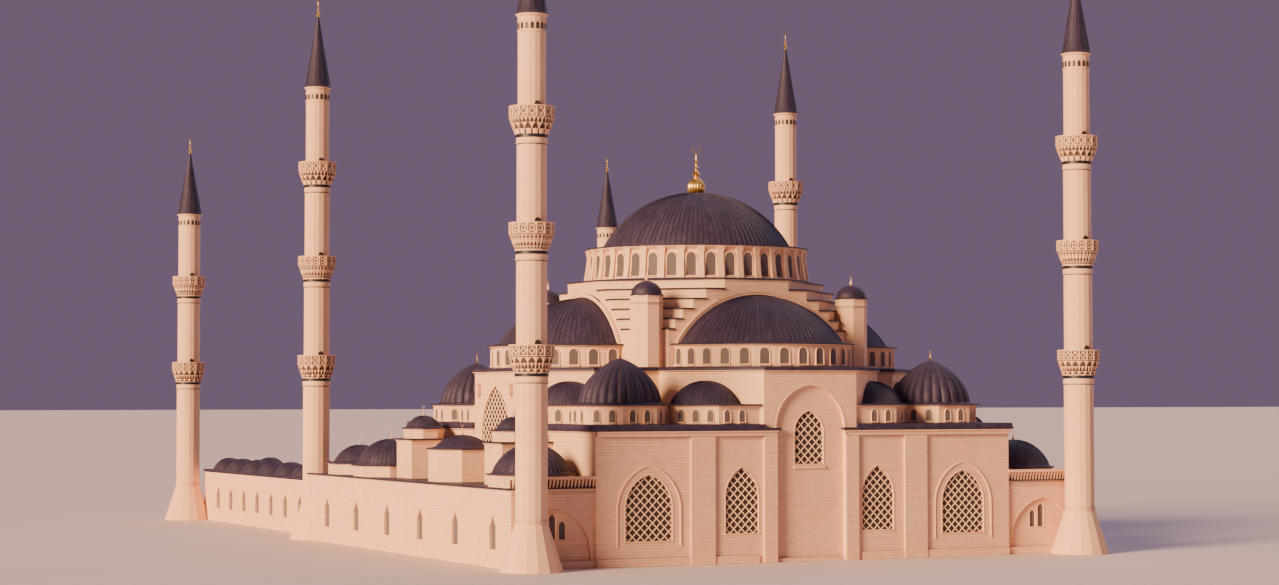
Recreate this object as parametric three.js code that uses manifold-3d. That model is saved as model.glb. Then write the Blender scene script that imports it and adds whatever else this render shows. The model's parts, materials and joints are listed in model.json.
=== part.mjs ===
// A large domed mosque with six minarets, as a scale model at 1:10.
// The frame: +X to the right along the front wall, +Y from the front wall to the courtyard, +Z up.
// The origin is at ground level, in the middle of the plan.

import * as THREE from "three";
import { mergeVertices } from "three/addons/utils/BufferGeometryUtils.js";
import Module from "manifold-3d";

const wasm = await Module();
wasm.setup();

// Every dimension below is a real size in metres. The model is built at one tenth.
const METRE = 100;
const SEAT = 0.004;

// Plan: minarets and the middle of the hall
const MINARET_X = 53.08;
const MINARET_ROWS = [-98.05, 7.65, 98.05];
const HALL_Y = -52.71;

// Minarets
const SIDES = 16;
const FOOT_HALF = 5.2;
const FOOT_TOP = 7.9;
const SHAFT_RADII = [2.62, 2.52, 2.45, 2.3];
const BALCONY_LEVELS = [31.35, 50.85, 69.5];
const LOW_BALCONY_LEVELS = [31.2, 50.85];
const BALCONY_RADIUS = 3.6;
const BALCONY_FLOOR = 3.0;
const PARAPET_TOP = 4.6;
const PARAPET_WALL = 0.25;
const SPIRE_BASE = 89.1;
const LOW_SPIRE_BASE = 69.9;
const SPIRE_RISE = 14.1;
const SPIRE_WALL = 3.0;
const STAIR_RADIUS = 1.45;

// Lower block of the hall
const BLOCK_X = 40.2;
const BLOCK_Y = 42.1;
const WALL = 1.5;
const FLOOR = 0.3;
const EAVES = 22.1;
const TERRACE = 23.2;
const OVERHANG = 0.55;

// Arms of the cross-shaped upper storey
const ARM_FRONT_HALF = 9.0;
const ARM_SIDE_HALF = 9.65;
const ARM_NECK = 19.7;
const PIER_OUT = 24.1;
const UPPER_WALL = 1.2;
const UPPER_TOP = 32.3;
const ROOF_TOP = 32.9;

// Main dome, its drum and the stepped base
const DRUM_RADIUS = 19.6;
const DRUM_INNER = 17.9;
const DRUM_BASE = 48.9;
const DRUM_TOP = 54.9;
const DRUM_WINDOWS = 36;
const DOME_RADIUS = 17.5;
const DOME_RISE = 10.7;
const DOME_SHELL = 0.6;
const COLLAR_RADIUS = 20.9;
const GABLE = 23.2;
const TIERS = [
  [39.7, 17.6],
  [41.5, 16.25],
  [43.3, 14.7],
  [45.1, 12.6],
  [46.9, 10.1],
  [48.7, 6.4],
];

// Half domes on the four arms
const SEMI_RADIUS = 15.3;
const SEMI_RISE = 8.65;
const SEMI_DRUM_RADIUS = 16.5;
const SEMI_DRUM_TOP = 37.0;
const SEMI_WINDOWS = 15;
const SEMI_WALL = 1.9;
const ARCH_STEPS = 5;
const RIM = 0.9;
const RIM_GAP = 0.04;

// Turrets
const TURRET_X = 20.66;
const TURRET_Y = 21.04;
const TURRET_RADIUS = 2.87;
const TURRET_TOP = 45.5;

// Small half domes and fluted domes on the corners of the lower block
const TIER_TOP = 26.5;
const FRONT_EXEDRA_SHIFT = 7.28;
const SIDE_EXEDRA_SHIFT = 6.9;
const EXEDRA_HALF = 6.1;
const EXEDRA_DEPTH = 5.48;
const EXEDRA_RISE = 4.0;
const EXEDRA_FACE = 4.0;
const CORNER_WALL = 1.1;
const CORNER_X = 30.8;
const CORNER_Y = 31.5;
const CORNER_APOTHEM = 7.6;
const FLUTED_RADIUS = 7.0;
const FLUTED_RISE = 7.85;
const FLUTES = 24;

// Side galleries
const GALLERY_OUT = 55.0;
const GALLERY_END = 60.4;
const GALLERY_TOP = 13.0;
const GALLERY_X = 47.6;
const GALLERY_FRONT = -41.6;
const GALLERY_WALL = 0.9;
const GALLERY_ROOF = 0.7;
const GALLERY_WINDOWS = [-34, -17.6, -1.2, 15.2, 31.6, 48];
const GALLERY_DOMES = [
  { x: 47.6, y: -32.8, z: 15.2, radius: 6.5, rise: 4.8 },
  { x: 46.6, y: 0, z: 18.8, radius: 4.9, rise: 2.3 },
  { x: 47.6, y: 32.8, z: 15.2, radius: 6.5, rise: 4.8 },
  { x: 47.6, y: 50.0, z: 15.2, radius: 5.1, rise: 3.4 },
];

// Entrance gallery between the hall and the courtyard
const ENTRANCE_DOMES = { xs: [-32, -16, 0, 16, 32], z: 14.6, radius: 5.1, rise: 3.4 };

// Square stair blocks between the hall and the galleries, each with an eight-sided drum and a dome
const BLOCK_TOWER_X = 45.7;
const BLOCK_TOWER_Y = 21.1;
const BLOCK_TOWER_HALF = 3.8;
const BLOCK_TOWER_TOP = 20.2;
const BLOCK_TOWER_DRUM = 3.4;
const BLOCK_TOWER_DRUM_TOP = 22.2;
const BLOCK_TOWER_RISE = 2.2;

// Courtyard
const COURT_OUT = 49.5;
const COURT_END = 149.5;
const COURT_TOP = 11.5;
const COURT_WALL = 1.0;
const COURT_DEPTH = 9.0;
const COURT_BAYS = 7;
const COURT_WINDOWS = { first: 71.4, pitch: 9.6, count: 8 };
const COURT_DOME = { radius: 3.6, rise: 2.6 };
const COURT_EAVES = 1.2;

// Arched openings: half width, sill, spring, apex and the facets in half an arch.
// The heights of the first three are over the balcony's moulding, the drum's foot and the upper roof.
const BALCONY_DOOR = [0.5, 3.05, 4.8, 5.4, 3];
const DRUM_WINDOW = [0.88, 0.45, 3.7, 4.65, 1];
const SEMI_WINDOW = [0.8, 0.5, 2.5, 3.3, 1];
const EXEDRA_ARCH = [4.6, 22.2, 26.5, 29.7, 3];
const BIG_ARCH = [6.7, 0.6, 22.5, 29.8, 5];
const ARM_WINDOW = [2.8, 16.4, 21.8, 25.4, 3];
const INNER_BAY = [3.15, 5.0, 11.0, 16.1, 4];
const OUTER_BAY = [4.3, 4.1, 9.5, 15.0, 4];
const INNER_BAY_X = 13.25;
const OUTER_BAY_X = 30.6;
const DOOR = [2.2, 0.3, 5.0, 7.2, 3];
const SIDE_ARCH = [6.4, 17.0, 20.5, 29.8, 6];
const SIDE_WINDOW = [2.2, 3.0, 7.5, 10.0, 3];
const SIDE_WINDOW_Y = 26;
const WING_ARCH = [6.85, -1, 2.0, 9.9, 4];
const WING_ARCH_X = 47.75;
const WING_LANCETS = [[45.85, [0.62, 4.7, 7.1, 7.75, 1]], [47.6, [0.66, 4.7, 8.15, 8.85, 1]]];
const GALLERY_WINDOW = [1.4, 3.0, 6.5, 8.5, 1];
const ENTRANCE_WINDOW = [1.5, 3, 6.5, 8.8, 3];
const ENTRANCE_DOOR = [2.4, 0.01, 6.5, 8.8, 3];
const COURT_WINDOW = [1.3, 3.0, 6.0, 7.8, 1];
const COURT_GATE = [2.6, -1, 5.5, 8.5, 4];
const ARCADE_ARCH = [3.1, -1, 5.8, 8.8, 2];

// Profiles of finials and caps: radius, and height over the foot
const SPIRE_FINIAL = [[0.16, 0], [0.42, 0.9], [0.1, 1.5], [0, 3.9]];
const MAIN_FINIAL = [
  [0, 0], [0.9, 0], [1.65, 1.0], [1.5, 1.9], [0.5, 2.7], [0.35, 3.1], [0.75, 3.6], [0.3, 4.1],
  [0.55, 4.6], [0.12, 6.8], [0, 6.8],
];
const CRESCENT = { outer: 1.1, inner: 0.86, lift: 0.35, rise: 7.8, half: 0.12 };
const TURRET_CAP = [[2.5, 0.1], [2.05, 1.2], [1.15, 2.0], [0.2, 2.35], [0.3, 3.0], [0.1, 3.4], [0, 4.1]];
const FLUTED_FINIAL = [[0, -0.5], [0.3, -0.3], [0.35, 0.5], [0, 2.0]];

const STONE = { color: 0xd9bda0, roughness: 0.85, metalness: 0 };
const LEAD = { color: 0x4a4048, roughness: 0.55, metalness: 0.3 };
const GOLD = { color: 0xd9a441, roughness: 0.3, metalness: 1 };

// A closed geometry as a solid: shared corners merged, slivers dropped and faces turned outwards.
function solid(geometry) {
  const bare = geometry.clone();
  bare.deleteAttribute("normal");
  bare.deleteAttribute("uv");
  const merged = mergeVertices(bare);
  const index = merged.index.array;
  const corners = merged.attributes.position;
  const triangles = [];
  const [a, b, c] = [new THREE.Vector3(), new THREE.Vector3(), new THREE.Vector3()];
  let volume = 0;
  for (let i = 0; i < index.length; i += 3) {
    const [p, q, r] = [index[i], index[i + 1], index[i + 2]];
    if (p === q || q === r || r === p) continue;
    triangles.push(p, q, r);
    a.fromBufferAttribute(corners, p);
    b.fromBufferAttribute(corners, q);
    c.fromBufferAttribute(corners, r);
    volume += a.dot(b.cross(c));
  }
  const triVerts = Uint32Array.from(volume < 0 ? triangles.reverse() : triangles);
  return new wasm.Manifold(new wasm.Mesh({ numProp: 3, vertProperties: corners.array, triVerts }));
}

const join = (pieces) => pieces.reduce((whole, piece) => whole.add(piece));
const cut = (body, tools) => body.subtract(join(tools));

// Horizontal outline raised from one level to another.
function raised(points, from, to) {
  const shape = new THREE.Shape(points.map(([x, y]) => new THREE.Vector2(x, y)));
  const geometry = new THREE.ExtrudeGeometry(shape, { depth: to - from, bevelEnabled: false });
  return solid(geometry.translate(0, 0, from));
}

// Outline of x and z carried along Y, then turned about Z and moved.
function upright(points, from, to, turn = 0, [x, y] = [0, 0], z = 0) {
  const shape = new THREE.Shape(points.map(([u, v]) => new THREE.Vector2(u, v)));
  const geometry = new THREE.ExtrudeGeometry(shape, { depth: to - from, bevelEnabled: false });
  geometry.rotateX(Math.PI / 2).translate(0, to, 0).rotateZ(turn).translate(x, y, z);
  return solid(geometry);
}

// Profile of radius and height turned about a vertical axis, with flats that face the building's axes.
function turned(profile, sides, [x, y] = [0, 0]) {
  const points = [...profile, profile[0]].map(([r, z]) => new THREE.Vector2(r, z));
  const geometry = new THREE.LatheGeometry(points, sides, Math.PI / sides);
  return solid(geometry.rotateX(Math.PI / 2).translate(x, y, 0));
}

// Profile of radius and height, set on a foot.
const lifted = (profile, foot) => profile.map(([r, z]) => [r, z + foot]);

const box = (x0, x1, y0, y1, z0, z1) => raised([[x0, y0], [x1, y0], [x1, y1], [x0, y1]], z0, z1);

// Round hole or post of one radius.
const post = (radius, from, to, sides, at) =>
  turned([[0, from], [radius, from], [radius, to], [0, to]], sides, at);

// Points of a shallow dome's outline from its rim to its crown.
function capArc(half, rise, steps) {
  const radius = (half * half + rise * rise) / (2 * rise);
  const start = Math.asin((radius - rise) / radius);
  return Array.from({ length: steps + 1 }, (_, i) => {
    const angle = start + (Math.PI / 2 - start) * (i / steps);
    return [radius * Math.cos(angle), radius * Math.sin(angle) - radius + rise];
  });
}

// Points of a two-centred arch from its right spring to its left spring.
function archPoints(half, spring, apex, steps) {
  const rise = apex - spring;
  const radius = (half * half + rise * rise) / (2 * half);
  const last = Math.atan2(rise, radius - half);
  const right = Array.from({ length: steps + 1 }, (_, i) => {
    const angle = last * (i / steps);
    return [half - radius + radius * Math.cos(angle), spring + radius * Math.sin(angle)];
  });
  right[steps][0] = 0;
  const left = right.slice(0, -1).reverse().map(([x, z]) => [-x, z]);
  return [...right, ...left];
}

// Outline of an arched opening, from its sill up.
const archway = ([half, sill, spring, apex, steps], middle = 0, foot = 0) =>
  [[-half, sill], [half, sill], ...archPoints(half, spring, apex, steps)]
    .map(([x, z]) => [x + middle, z + foot]);

// Outline of a crescent with its tips up: an outer circle less a smaller one set higher.
function crescentPoints(outer, inner, lift, steps) {
  const tipZ = (outer ** 2 - inner ** 2 + lift ** 2) / (2 * lift);
  const tipX = Math.sqrt(outer ** 2 - tipZ ** 2);
  const arc = (radius, middle) => {
    const end = Math.atan2(tipX, middle - tipZ);
    return Array.from({ length: steps + 1 }, (_, i) => {
      const angle = end * (1 - (2 * i) / steps);
      return [radius * Math.sin(angle), middle - radius * Math.cos(angle)];
    });
  };
  return [...arc(outer, 0), ...arc(inner, lift).reverse().slice(1, -1)];
}

// Domed shell with an open underside.
function domeShell(half, rise, base, shell, sides, rings, at = [0, 0]) {
  const hollow = cap(half - shell, rise - shell + 0.3, base - 0.3, sides / 2, rings - 2, at);
  return cap(half, rise, base, sides, rings, at).subtract(hollow);
}

// Solid dome on a flat base.
function cap(half, rise, base, sides, rings, at = [0, 0]) {
  const arc = lifted(capArc(half, rise, rings), base);
  arc[rings][0] = 0;
  return turned([...arc, [0, base]], sides, at);
}

const mosque = new THREE.Group();
const hall = new THREE.Group();
hall.position.set(0, HALL_Y * METRE, 0);
mosque.add(hall);

// One named piece of the model.
function piece(name, body, finish, parent = mosque, [x, y] = [0, 0], turn = 0) {
  const { vertProperties, triVerts, numProp } = body.getMesh();
  const corners = new Float32Array((vertProperties.length / numProp) * 3);
  for (let i = 0; i < corners.length / 3; i += 1) {
    for (let k = 0; k < 3; k += 1) corners[3 * i + k] = vertProperties[numProp * i + k] * METRE;
  }
  const geometry = new THREE.BufferGeometry();
  geometry.setAttribute("position", new THREE.BufferAttribute(corners, 3));
  geometry.setIndex(new THREE.BufferAttribute(triVerts.slice(), 1));
  geometry.computeVertexNormals();
  const mesh = new THREE.Mesh(geometry, new THREE.MeshStandardMaterial(finish));
  mesh.name = name;
  mesh.position.set(x * METRE, y * METRE, 0);
  mesh.rotation.z = turn;
  parent.add(mesh);
}

// Outline of a balcony from the moulding under it to the shaft above it.
function balcony(level, below, above) {
  const inner = BALCONY_RADIUS - PARAPET_WALL;
  return lifted([
    [below, 0.3], [BALCONY_RADIUS, BALCONY_FLOOR - 0.2], [BALCONY_RADIUS, PARAPET_TOP],
    [inner, PARAPET_TOP], [inner, BALCONY_FLOOR], [above, BALCONY_FLOOR],
  ], level);
}

function minaretShaft(levels, top) {
  const profile = [[0, 0], [FOOT_HALF, 0], [SHAFT_RADII[0], FOOT_TOP]];
  levels.forEach((level, i) => profile.push(...balcony(level, SHAFT_RADII[i], SHAFT_RADII[i + 1])));
  const neck = SHAFT_RADII[levels.length];
  profile.push([neck, top - 0.6], [neck + 0.25, top], [0, top]);
  const doors = levels.map((level) =>
    upright(archway(BALCONY_DOOR, 0, level), -BALCONY_RADIUS + 0.3, 0));
  const stair = post(STAIR_RADIUS, -1, top + 1, 8);
  return cut(turned(profile, SIDES), [stair, ...doors]);
}

// Lead spire with its gilt finial.
function spire(base, radius) {
  const tip = base + SPIRE_RISE;
  const low = base + SEAT;
  return turned([
    [radius - 0.3, low], [radius + 0.15, low], ...lifted(SPIRE_FINIAL, tip), [0, tip - SPIRE_WALL],
  ], SIDES);
}

const ROWS = ["front", "middle", "back"];
MINARET_ROWS.forEach((y, row) => {
  const low = row === 2;
  const levels = low ? LOW_BALCONY_LEVELS : BALCONY_LEVELS;
  const top = low ? LOW_SPIRE_BASE : SPIRE_BASE;
  [["left", -MINARET_X], ["right", MINARET_X]].forEach(([side, x]) => {
    const name = `${ROWS[row]}_${side}`;
    piece(`minaret_${name}`, minaretShaft(levels, top), STONE, mosque, [x, y]);
    piece(`spire_${name}`, spire(top, SHAFT_RADII[levels.length] + 0.1), LEAD, mosque, [x, y]);
  });
});

// Drum of the main dome, with a ring of windows in a wall that spreads towards its foot.
function mainDrum() {
  const pitch = (2 * Math.PI) / DRUM_WINDOWS;
  const foot = DRUM_BASE + SEAT;
  const wall = turned([
    [0, foot], [DRUM_RADIUS + 0.9, foot], [DRUM_RADIUS, DRUM_TOP], [0, DRUM_TOP],
  ], DRUM_WINDOWS);
  const cornice = turned([
    [0, DRUM_TOP - 0.9], [DRUM_RADIUS + 0.2, DRUM_TOP - 0.9], [DRUM_RADIUS + 1.0, DRUM_TOP - 0.3],
    [DRUM_RADIUS + 1.0, DRUM_TOP], [0, DRUM_TOP],
  ], DRUM_WINDOWS);
  const windows = Array.from({ length: DRUM_WINDOWS }, (_, i) =>
    upright(archway(DRUM_WINDOW, 0, DRUM_BASE), -DRUM_RADIUS - 2, -DRUM_INNER + 2, i * pitch));
  const lip = DOME_RADIUS - DOME_SHELL - 0.2;
  const hollow = turned([
    [0, DRUM_BASE - 1], [DRUM_INNER, DRUM_BASE - 1], [DRUM_INNER, DRUM_TOP - 1.1], [lip, DRUM_TOP - 0.4],
    [lip, DRUM_TOP + 1], [0, DRUM_TOP + 1],
  ], DRUM_WINDOWS);
  return cut(wall.add(cornice), [hollow, ...windows]);
}

// Ribbed bulb, knobs and crescent over the main dome.
function mainFinial() {
  const base = DRUM_TOP + DOME_RISE + SEAT;
  const { outer, inner, lift, rise, half } = CRESCENT;
  const moon = upright(crescentPoints(outer, inner, lift, 6), -half, half, 0, [0, 0], base + rise);
  return turned(lifted(MAIN_FINIAL, base), 10).add(moon);
}

piece("main_dome", domeShell(DOME_RADIUS, DOME_RISE, DRUM_TOP + SEAT, DOME_SHELL, 36, 6), LEAD, hall);
piece("main_drum", mainDrum(), STONE, hall);
piece("main_finial", mainFinial(), GOLD, hall);

// Outline of the arch over a half dome, widened by a margin.
function semiArch(margin, floor) {
  const arc = lifted(capArc(SEMI_RADIUS + margin, SEMI_RISE + margin, ARCH_STEPS), SEMI_DRUM_TOP);
  arc[ARCH_STEPS][0] = 0;
  const left = arc.slice(0, -1).reverse().map(([x, z]) => [-x, z]);
  return [[-SEMI_RADIUS - margin, floor], [SEMI_RADIUS + margin, floor], ...arc, ...left];
}

const QUARTERS = [0, 1, 2, 3].map((k) => k * Math.PI / 2);
const CORNERS = [["front_left", -1, -1], ["front_right", 1, -1], ["back_left", -1, 1], ["back_right", 1, 1]];

// Stepped eight-sided tiers that carry the drum, with a stone rim over each half dome.
function steppedBase() {
  const tiers = TIERS.map(([top, w], i) => {
    const bottom = i === 0 ? ROOF_TOP + SEAT : TIERS[i - 1][0];
    const plan = [
      [w, -GABLE], [GABLE, -w], [GABLE, w], [w, GABLE],
      [-w, GABLE], [-GABLE, w], [-GABLE, -w], [-w, -GABLE],
    ];
    return raised(plan, bottom, top);
  });
  const collar = post(COLLAR_RADIUS, TIERS[5][0] - 1, DRUM_BASE, 20);
  const rims = QUARTERS.map((turn) => {
    const band = upright(semiArch(RIM, SEMI_DRUM_TOP - 0.3), -GABLE - 0.5, -GABLE + 0.5, turn);
    return cut(band, [upright(semiArch(RIM_GAP, SEMI_DRUM_TOP - 1), -GABLE - 1, -GABLE, turn)]);
  });
  const hollow = post(DRUM_INNER - 0.5, ROOF_TOP - 1, DRUM_BASE + 1, 16);
  const arches = QUARTERS.map((turn) => upright(semiArch(-1.2, ROOF_TOP - 1), -GABLE - 1, 0, turn));
  const notches = CORNERS.map(([, sx, sy]) =>
    post(TURRET_RADIUS + SEAT, ROOF_TOP - 1, DRUM_BASE + 1, 8, [sx * TURRET_X, sy * TURRET_Y]));
  return cut(join([...tiers, collar, ...rims]), [hollow, ...arches, ...notches]);
}

piece("stepped_base", steppedBase(), STONE, hall);

function semiDome() {
  const shell = domeShell(SEMI_RADIUS, SEMI_RISE, SEMI_DRUM_TOP + SEAT, DOME_SHELL, 28, 5, [0, -GABLE]);
  return cut(shell, [box(-40, 40, -GABLE - SEAT, 40, 0, 90)]);
}

function semiDrum() {
  const top = SEMI_DRUM_TOP;
  const wall = turned([
    [0, ROOF_TOP + SEAT], [SEMI_DRUM_RADIUS, ROOF_TOP + SEAT], [SEMI_DRUM_RADIUS, top - 0.5],
    [SEMI_DRUM_RADIUS + 0.5, top - 0.3], [SEMI_DRUM_RADIUS + 0.5, top], [0, top],
  ], 30, [0, -GABLE]);
  const hollow = post(SEMI_DRUM_RADIUS - SEMI_WALL, ROOF_TOP - 1, top + 1, 30, [0, -GABLE]);
  const pitch = Math.PI / SEMI_WINDOWS;
  const windows = Array.from({ length: SEMI_WINDOWS }, (_, i) =>
    upright(archway(SEMI_WINDOW, 0, ROOF_TOP), -SEMI_DRUM_RADIUS - 1.5, -SEMI_DRUM_RADIUS + 3.5,
      (i - (SEMI_WINDOWS - 1) / 2) * pitch, [0, -GABLE]));
  return cut(wall, [hollow, box(-40, 40, -GABLE - 0.5 - SEAT, 40, 0, 90), ...windows]);
}

["front", "right", "back", "left"].forEach((side, k) => {
  piece(`semi_dome_${side}`, semiDome(), LEAD, hall, [0, 0], QUARTERS[k]);
  piece(`semi_drum_${side}`, semiDrum(), STONE, hall, [0, 0], QUARTERS[k]);
});

const turret = turned([
  [2.0, ROOF_TOP + SEAT], [TURRET_RADIUS, ROOF_TOP + SEAT], [TURRET_RADIUS, TURRET_TOP - 1.4],
  [TURRET_RADIUS + 0.15, TURRET_TOP - 1.3], [TURRET_RADIUS, TURRET_TOP - 1.1],
  [TURRET_RADIUS, TURRET_TOP - 0.2], [TURRET_RADIUS + 0.1, TURRET_TOP],
  ...lifted(TURRET_CAP, TURRET_TOP), [0, TURRET_TOP + 1.4], [2.0, TURRET_TOP],
], 8);
CORNERS.forEach(([name, sx, sy]) =>
  piece(`turret_${name}`, turret, STONE, hall, [sx * TURRET_X, sy * TURRET_Y]));

// Quarter of the cross-shaped upper storey's outline, moved inwards by an inset, front right first.
function armQuarter(inset) {
  const miter = inset * Math.tan(Math.PI / 8);
  return [
    [ARM_FRONT_HALF - miter, -BLOCK_Y + inset],
    [ARM_NECK - inset, -BLOCK_Y + ARM_NECK - ARM_FRONT_HALF + miter],
    [ARM_NECK - inset, -PIER_OUT + inset],
    [PIER_OUT - inset, -PIER_OUT + inset],
    [PIER_OUT - inset, -ARM_NECK + inset],
    [BLOCK_X - ARM_NECK + ARM_SIDE_HALF - miter, -ARM_NECK + inset],
    [BLOCK_X - inset, -ARM_SIDE_HALF + miter],
  ];
}

function crossOutline(inset) {
  const quarter = armQuarter(inset);
  const flip = (points, sx, sy) => points.map(([x, y]) => [x * sx, y * sy]);
  return [
    ...quarter, ...flip(quarter, 1, -1).reverse(),
    ...flip(quarter, -1, -1), ...flip(quarter, -1, 1).reverse(),
  ];
}

const semiCentres = QUARTERS.map((turn) => [GABLE * Math.sin(turn), -GABLE * Math.cos(turn)]);

// Terrace slab over the upper storey, open under the dome and the half domes.
function upperRoof() {
  const slab = raised(crossOutline(-0.5), UPPER_TOP + SEAT, ROOF_TOP);
  const openings = semiCentres.map((at) =>
    post(SEMI_DRUM_RADIUS - SEMI_WALL, UPPER_TOP - 1, ROOF_TOP + 1, 20, at));
  return cut(slab, [post(DRUM_INNER - 0.5, UPPER_TOP - 1, ROOF_TOP + 1, 16), ...openings]);
}

piece("upper_roof", upperRoof(), LEAD, hall);

// The quarter of the plan between the arms, for one corner.
function cornerBlock(sx, sy, out, from, to) {
  const xs = [sx * (ARM_FRONT_HALF + SEAT), sx * (BLOCK_X + out)].sort((a, b) => a - b);
  const ys = [sy * (ARM_SIDE_HALF + SEAT), sy * (BLOCK_Y + out)].sort((a, b) => a - b);
  return box(xs[0], xs[1], ys[0], ys[1], from, to);
}

// The two small half domes of a corner: centre, and the turn that faces away from the hall.
function exedras(sx, sy) {
  const face = (x, y) => Math.atan2(y, x) + Math.PI / 2;
  return [
    {
      at: [sx * (ARM_FRONT_HALF + FRONT_EXEDRA_SHIFT), sy * (BLOCK_Y - FRONT_EXEDRA_SHIFT)],
      turn: face(sx, sy),
    },
    {
      at: [sx * (BLOCK_X - SIDE_EXEDRA_SHIFT), sy * (ARM_SIDE_HALF + SIDE_EXEDRA_SHIFT)],
      turn: face(sx, sy),
    },
  ];
}

function upperWall(sx, sy) {
  const ring = raised(crossOutline(0), TERRACE + SEAT, UPPER_TOP)
    .subtract(raised(crossOutline(UPPER_WALL), 0, 90));
  const arches = exedras(sx, sy).map(({ at, turn }) =>
    upright(archway(EXEDRA_ARCH), -3, 3, turn, at));
  return cut(ring.intersect(cornerBlock(sx, sy, 1, 0, 90)), arches);
}

// Half of an eight-sided plan in front of the canted wall.
function exedraPlan(inset) {
  const front = EXEDRA_FACE - inset * Math.tan(Math.PI / 8);
  const depth = EXEDRA_DEPTH - inset;
  const wing = front + depth;
  return [[-wing - 0.4, 0.4], [-front, -depth], [front, -depth], [wing + 0.4, 0.4]];
}

function placed(points, turn, [x, y]) {
  return points.map(([u, v]) => [
    u * Math.cos(turn) - v * Math.sin(turn) + x,
    u * Math.sin(turn) + v * Math.cos(turn) + y,
  ]);
}

// Corner terrace with an eight-sided drum and two small half domes on their own drums.
function cornerTier(sx, sy) {
  const plate = cornerBlock(sx, sy, OVERHANG, EAVES + SEAT, TERRACE);
  const centre = [sx * CORNER_X, sy * CORNER_Y];
  const radius = CORNER_APOTHEM / Math.cos(Math.PI / 8);
  const drum = turned([
    [0, TERRACE - 0.1], [radius, TERRACE - 0.1], [radius, TIER_TOP - 0.4], [radius + 0.4, TIER_TOP - 0.2],
    [radius + 0.4, TIER_TOP], [0, TIER_TOP],
  ], 8, centre);
  const well = post(radius - CORNER_WALL, 0, 90, 8, centre);
  const inside = raised(crossOutline(-SEAT), TERRACE + 0.001, 90);
  const hallSide = raised(crossOutline(UPPER_WALL), 0, 90);
  const solids = [plate, drum];
  const holes = [well];
  exedras(sx, sy).forEach(({ at, turn }) => {
    solids.push(raised(placed(exedraPlan(0), turn, at), TERRACE - 0.1, TIER_TOP - 0.3));
    solids.push(raised(placed(exedraPlan(-0.4), turn, at), TIER_TOP - 0.3, TIER_TOP));
    holes.push(raised(placed(exedraPlan(CORNER_WALL), turn, at), 0, TIER_TOP - 0.5));
  });
  const caps = exedras(sx, sy).map(({ at, turn }) => exedraDome(at, turn));
  const cavities = exedras(sx, sy).map(({ at, turn }) => exedraHollow(at, turn));
  const quarter = cornerBlock(sx, sy, OVERHANG, 0, 90);
  return cut(join([...solids, ...caps]), [...holes, ...cavities, inside, hallSide]).intersect(quarter);
}

function exedraCap(half, depth, rise, base, at, turn, rings, sides) {
  const points = [...capArc(half, rise, rings), [0, 0]].map(([r, z]) => new THREE.Vector2(r, z));
  points[rings].x = 0;
  points.push(points[0].clone());
  const geometry = new THREE.LatheGeometry(points, sides, Math.PI / sides);
  geometry.rotateX(Math.PI / 2).scale(1, depth / half, 1).rotateZ(turn).translate(at[0], at[1], base);
  return solid(geometry);
}

const exedraDome = (at, turn) =>
  exedraCap(EXEDRA_HALF, EXEDRA_DEPTH - 0.1, EXEDRA_RISE, TIER_TOP - 0.01, at, turn, 4, 16);
const exedraHollow = (at, turn) =>
  exedraCap(EXEDRA_HALF - 0.5, EXEDRA_DEPTH - 0.6, EXEDRA_RISE - 0.4, TIER_TOP - 0.6, at, turn, 2, 8);

// Dome of round ribs that meet at a pointed crown, with its finial.
function flutedDome() {
  const turns = FLUTES * 2;
  const rings = 4;
  const base = TIER_TOP + SEAT;
  const tip = base + FLUTED_RISE;
  const corners = [0, 0, base, 0, 0, tip];
  const faces = [];
  for (let j = 0; j < rings; j += 1) {
    const t = j / rings;
    const radius = FLUTED_RADIUS * (1 - t * t) ** 0.78;
    for (let i = 0; i < turns; i += 1) {
      const angle = (i * 2 * Math.PI) / turns;
      const reach = i % 2 === 1 ? radius * 0.96 : radius;
      corners.push(reach * Math.cos(angle), reach * Math.sin(angle), base + t * FLUTED_RISE);
    }
  }
  for (let i = 0; i < turns; i += 1) {
    const next = (i + 1) % turns;
    for (let j = 0; j < rings - 1; j += 1) {
      const [low, high] = [2 + j * turns, 2 + (j + 1) * turns];
      faces.push(low + i, low + next, high + next, low + i, high + next, high + i);
    }
    const last = 2 + (rings - 1) * turns;
    faces.push(last + i, last + next, 1, 2 + next, 2 + i, 0);
  }
  const geometry = new THREE.BufferGeometry();
  geometry.setAttribute("position", new THREE.BufferAttribute(Float32Array.from(corners), 3));
  geometry.setIndex(faces);
  const finial = turned(lifted(FLUTED_FINIAL, tip), 8);
  const hollow = turned([
    [0, base - 1], [FLUTED_RADIUS - 1.1, base - 1], [FLUTED_RADIUS - 1.1, base + 1],
    [FLUTED_RADIUS - 2.2, base + 3.4], [0, tip - 1.6],
  ], 12);
  return solid(geometry).add(finial).subtract(hollow);
}

CORNERS.forEach(([name, sx, sy]) => {
  piece(`upper_wall_${name}`, upperWall(sx, sy), STONE, hall);
  piece(`corner_tier_${name}`, cornerTier(sx, sy), STONE, hall);
  piece(`corner_dome_${name}`, flutedDome(), LEAD, hall, [sx * CORNER_X, sy * CORNER_Y]);
});

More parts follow.
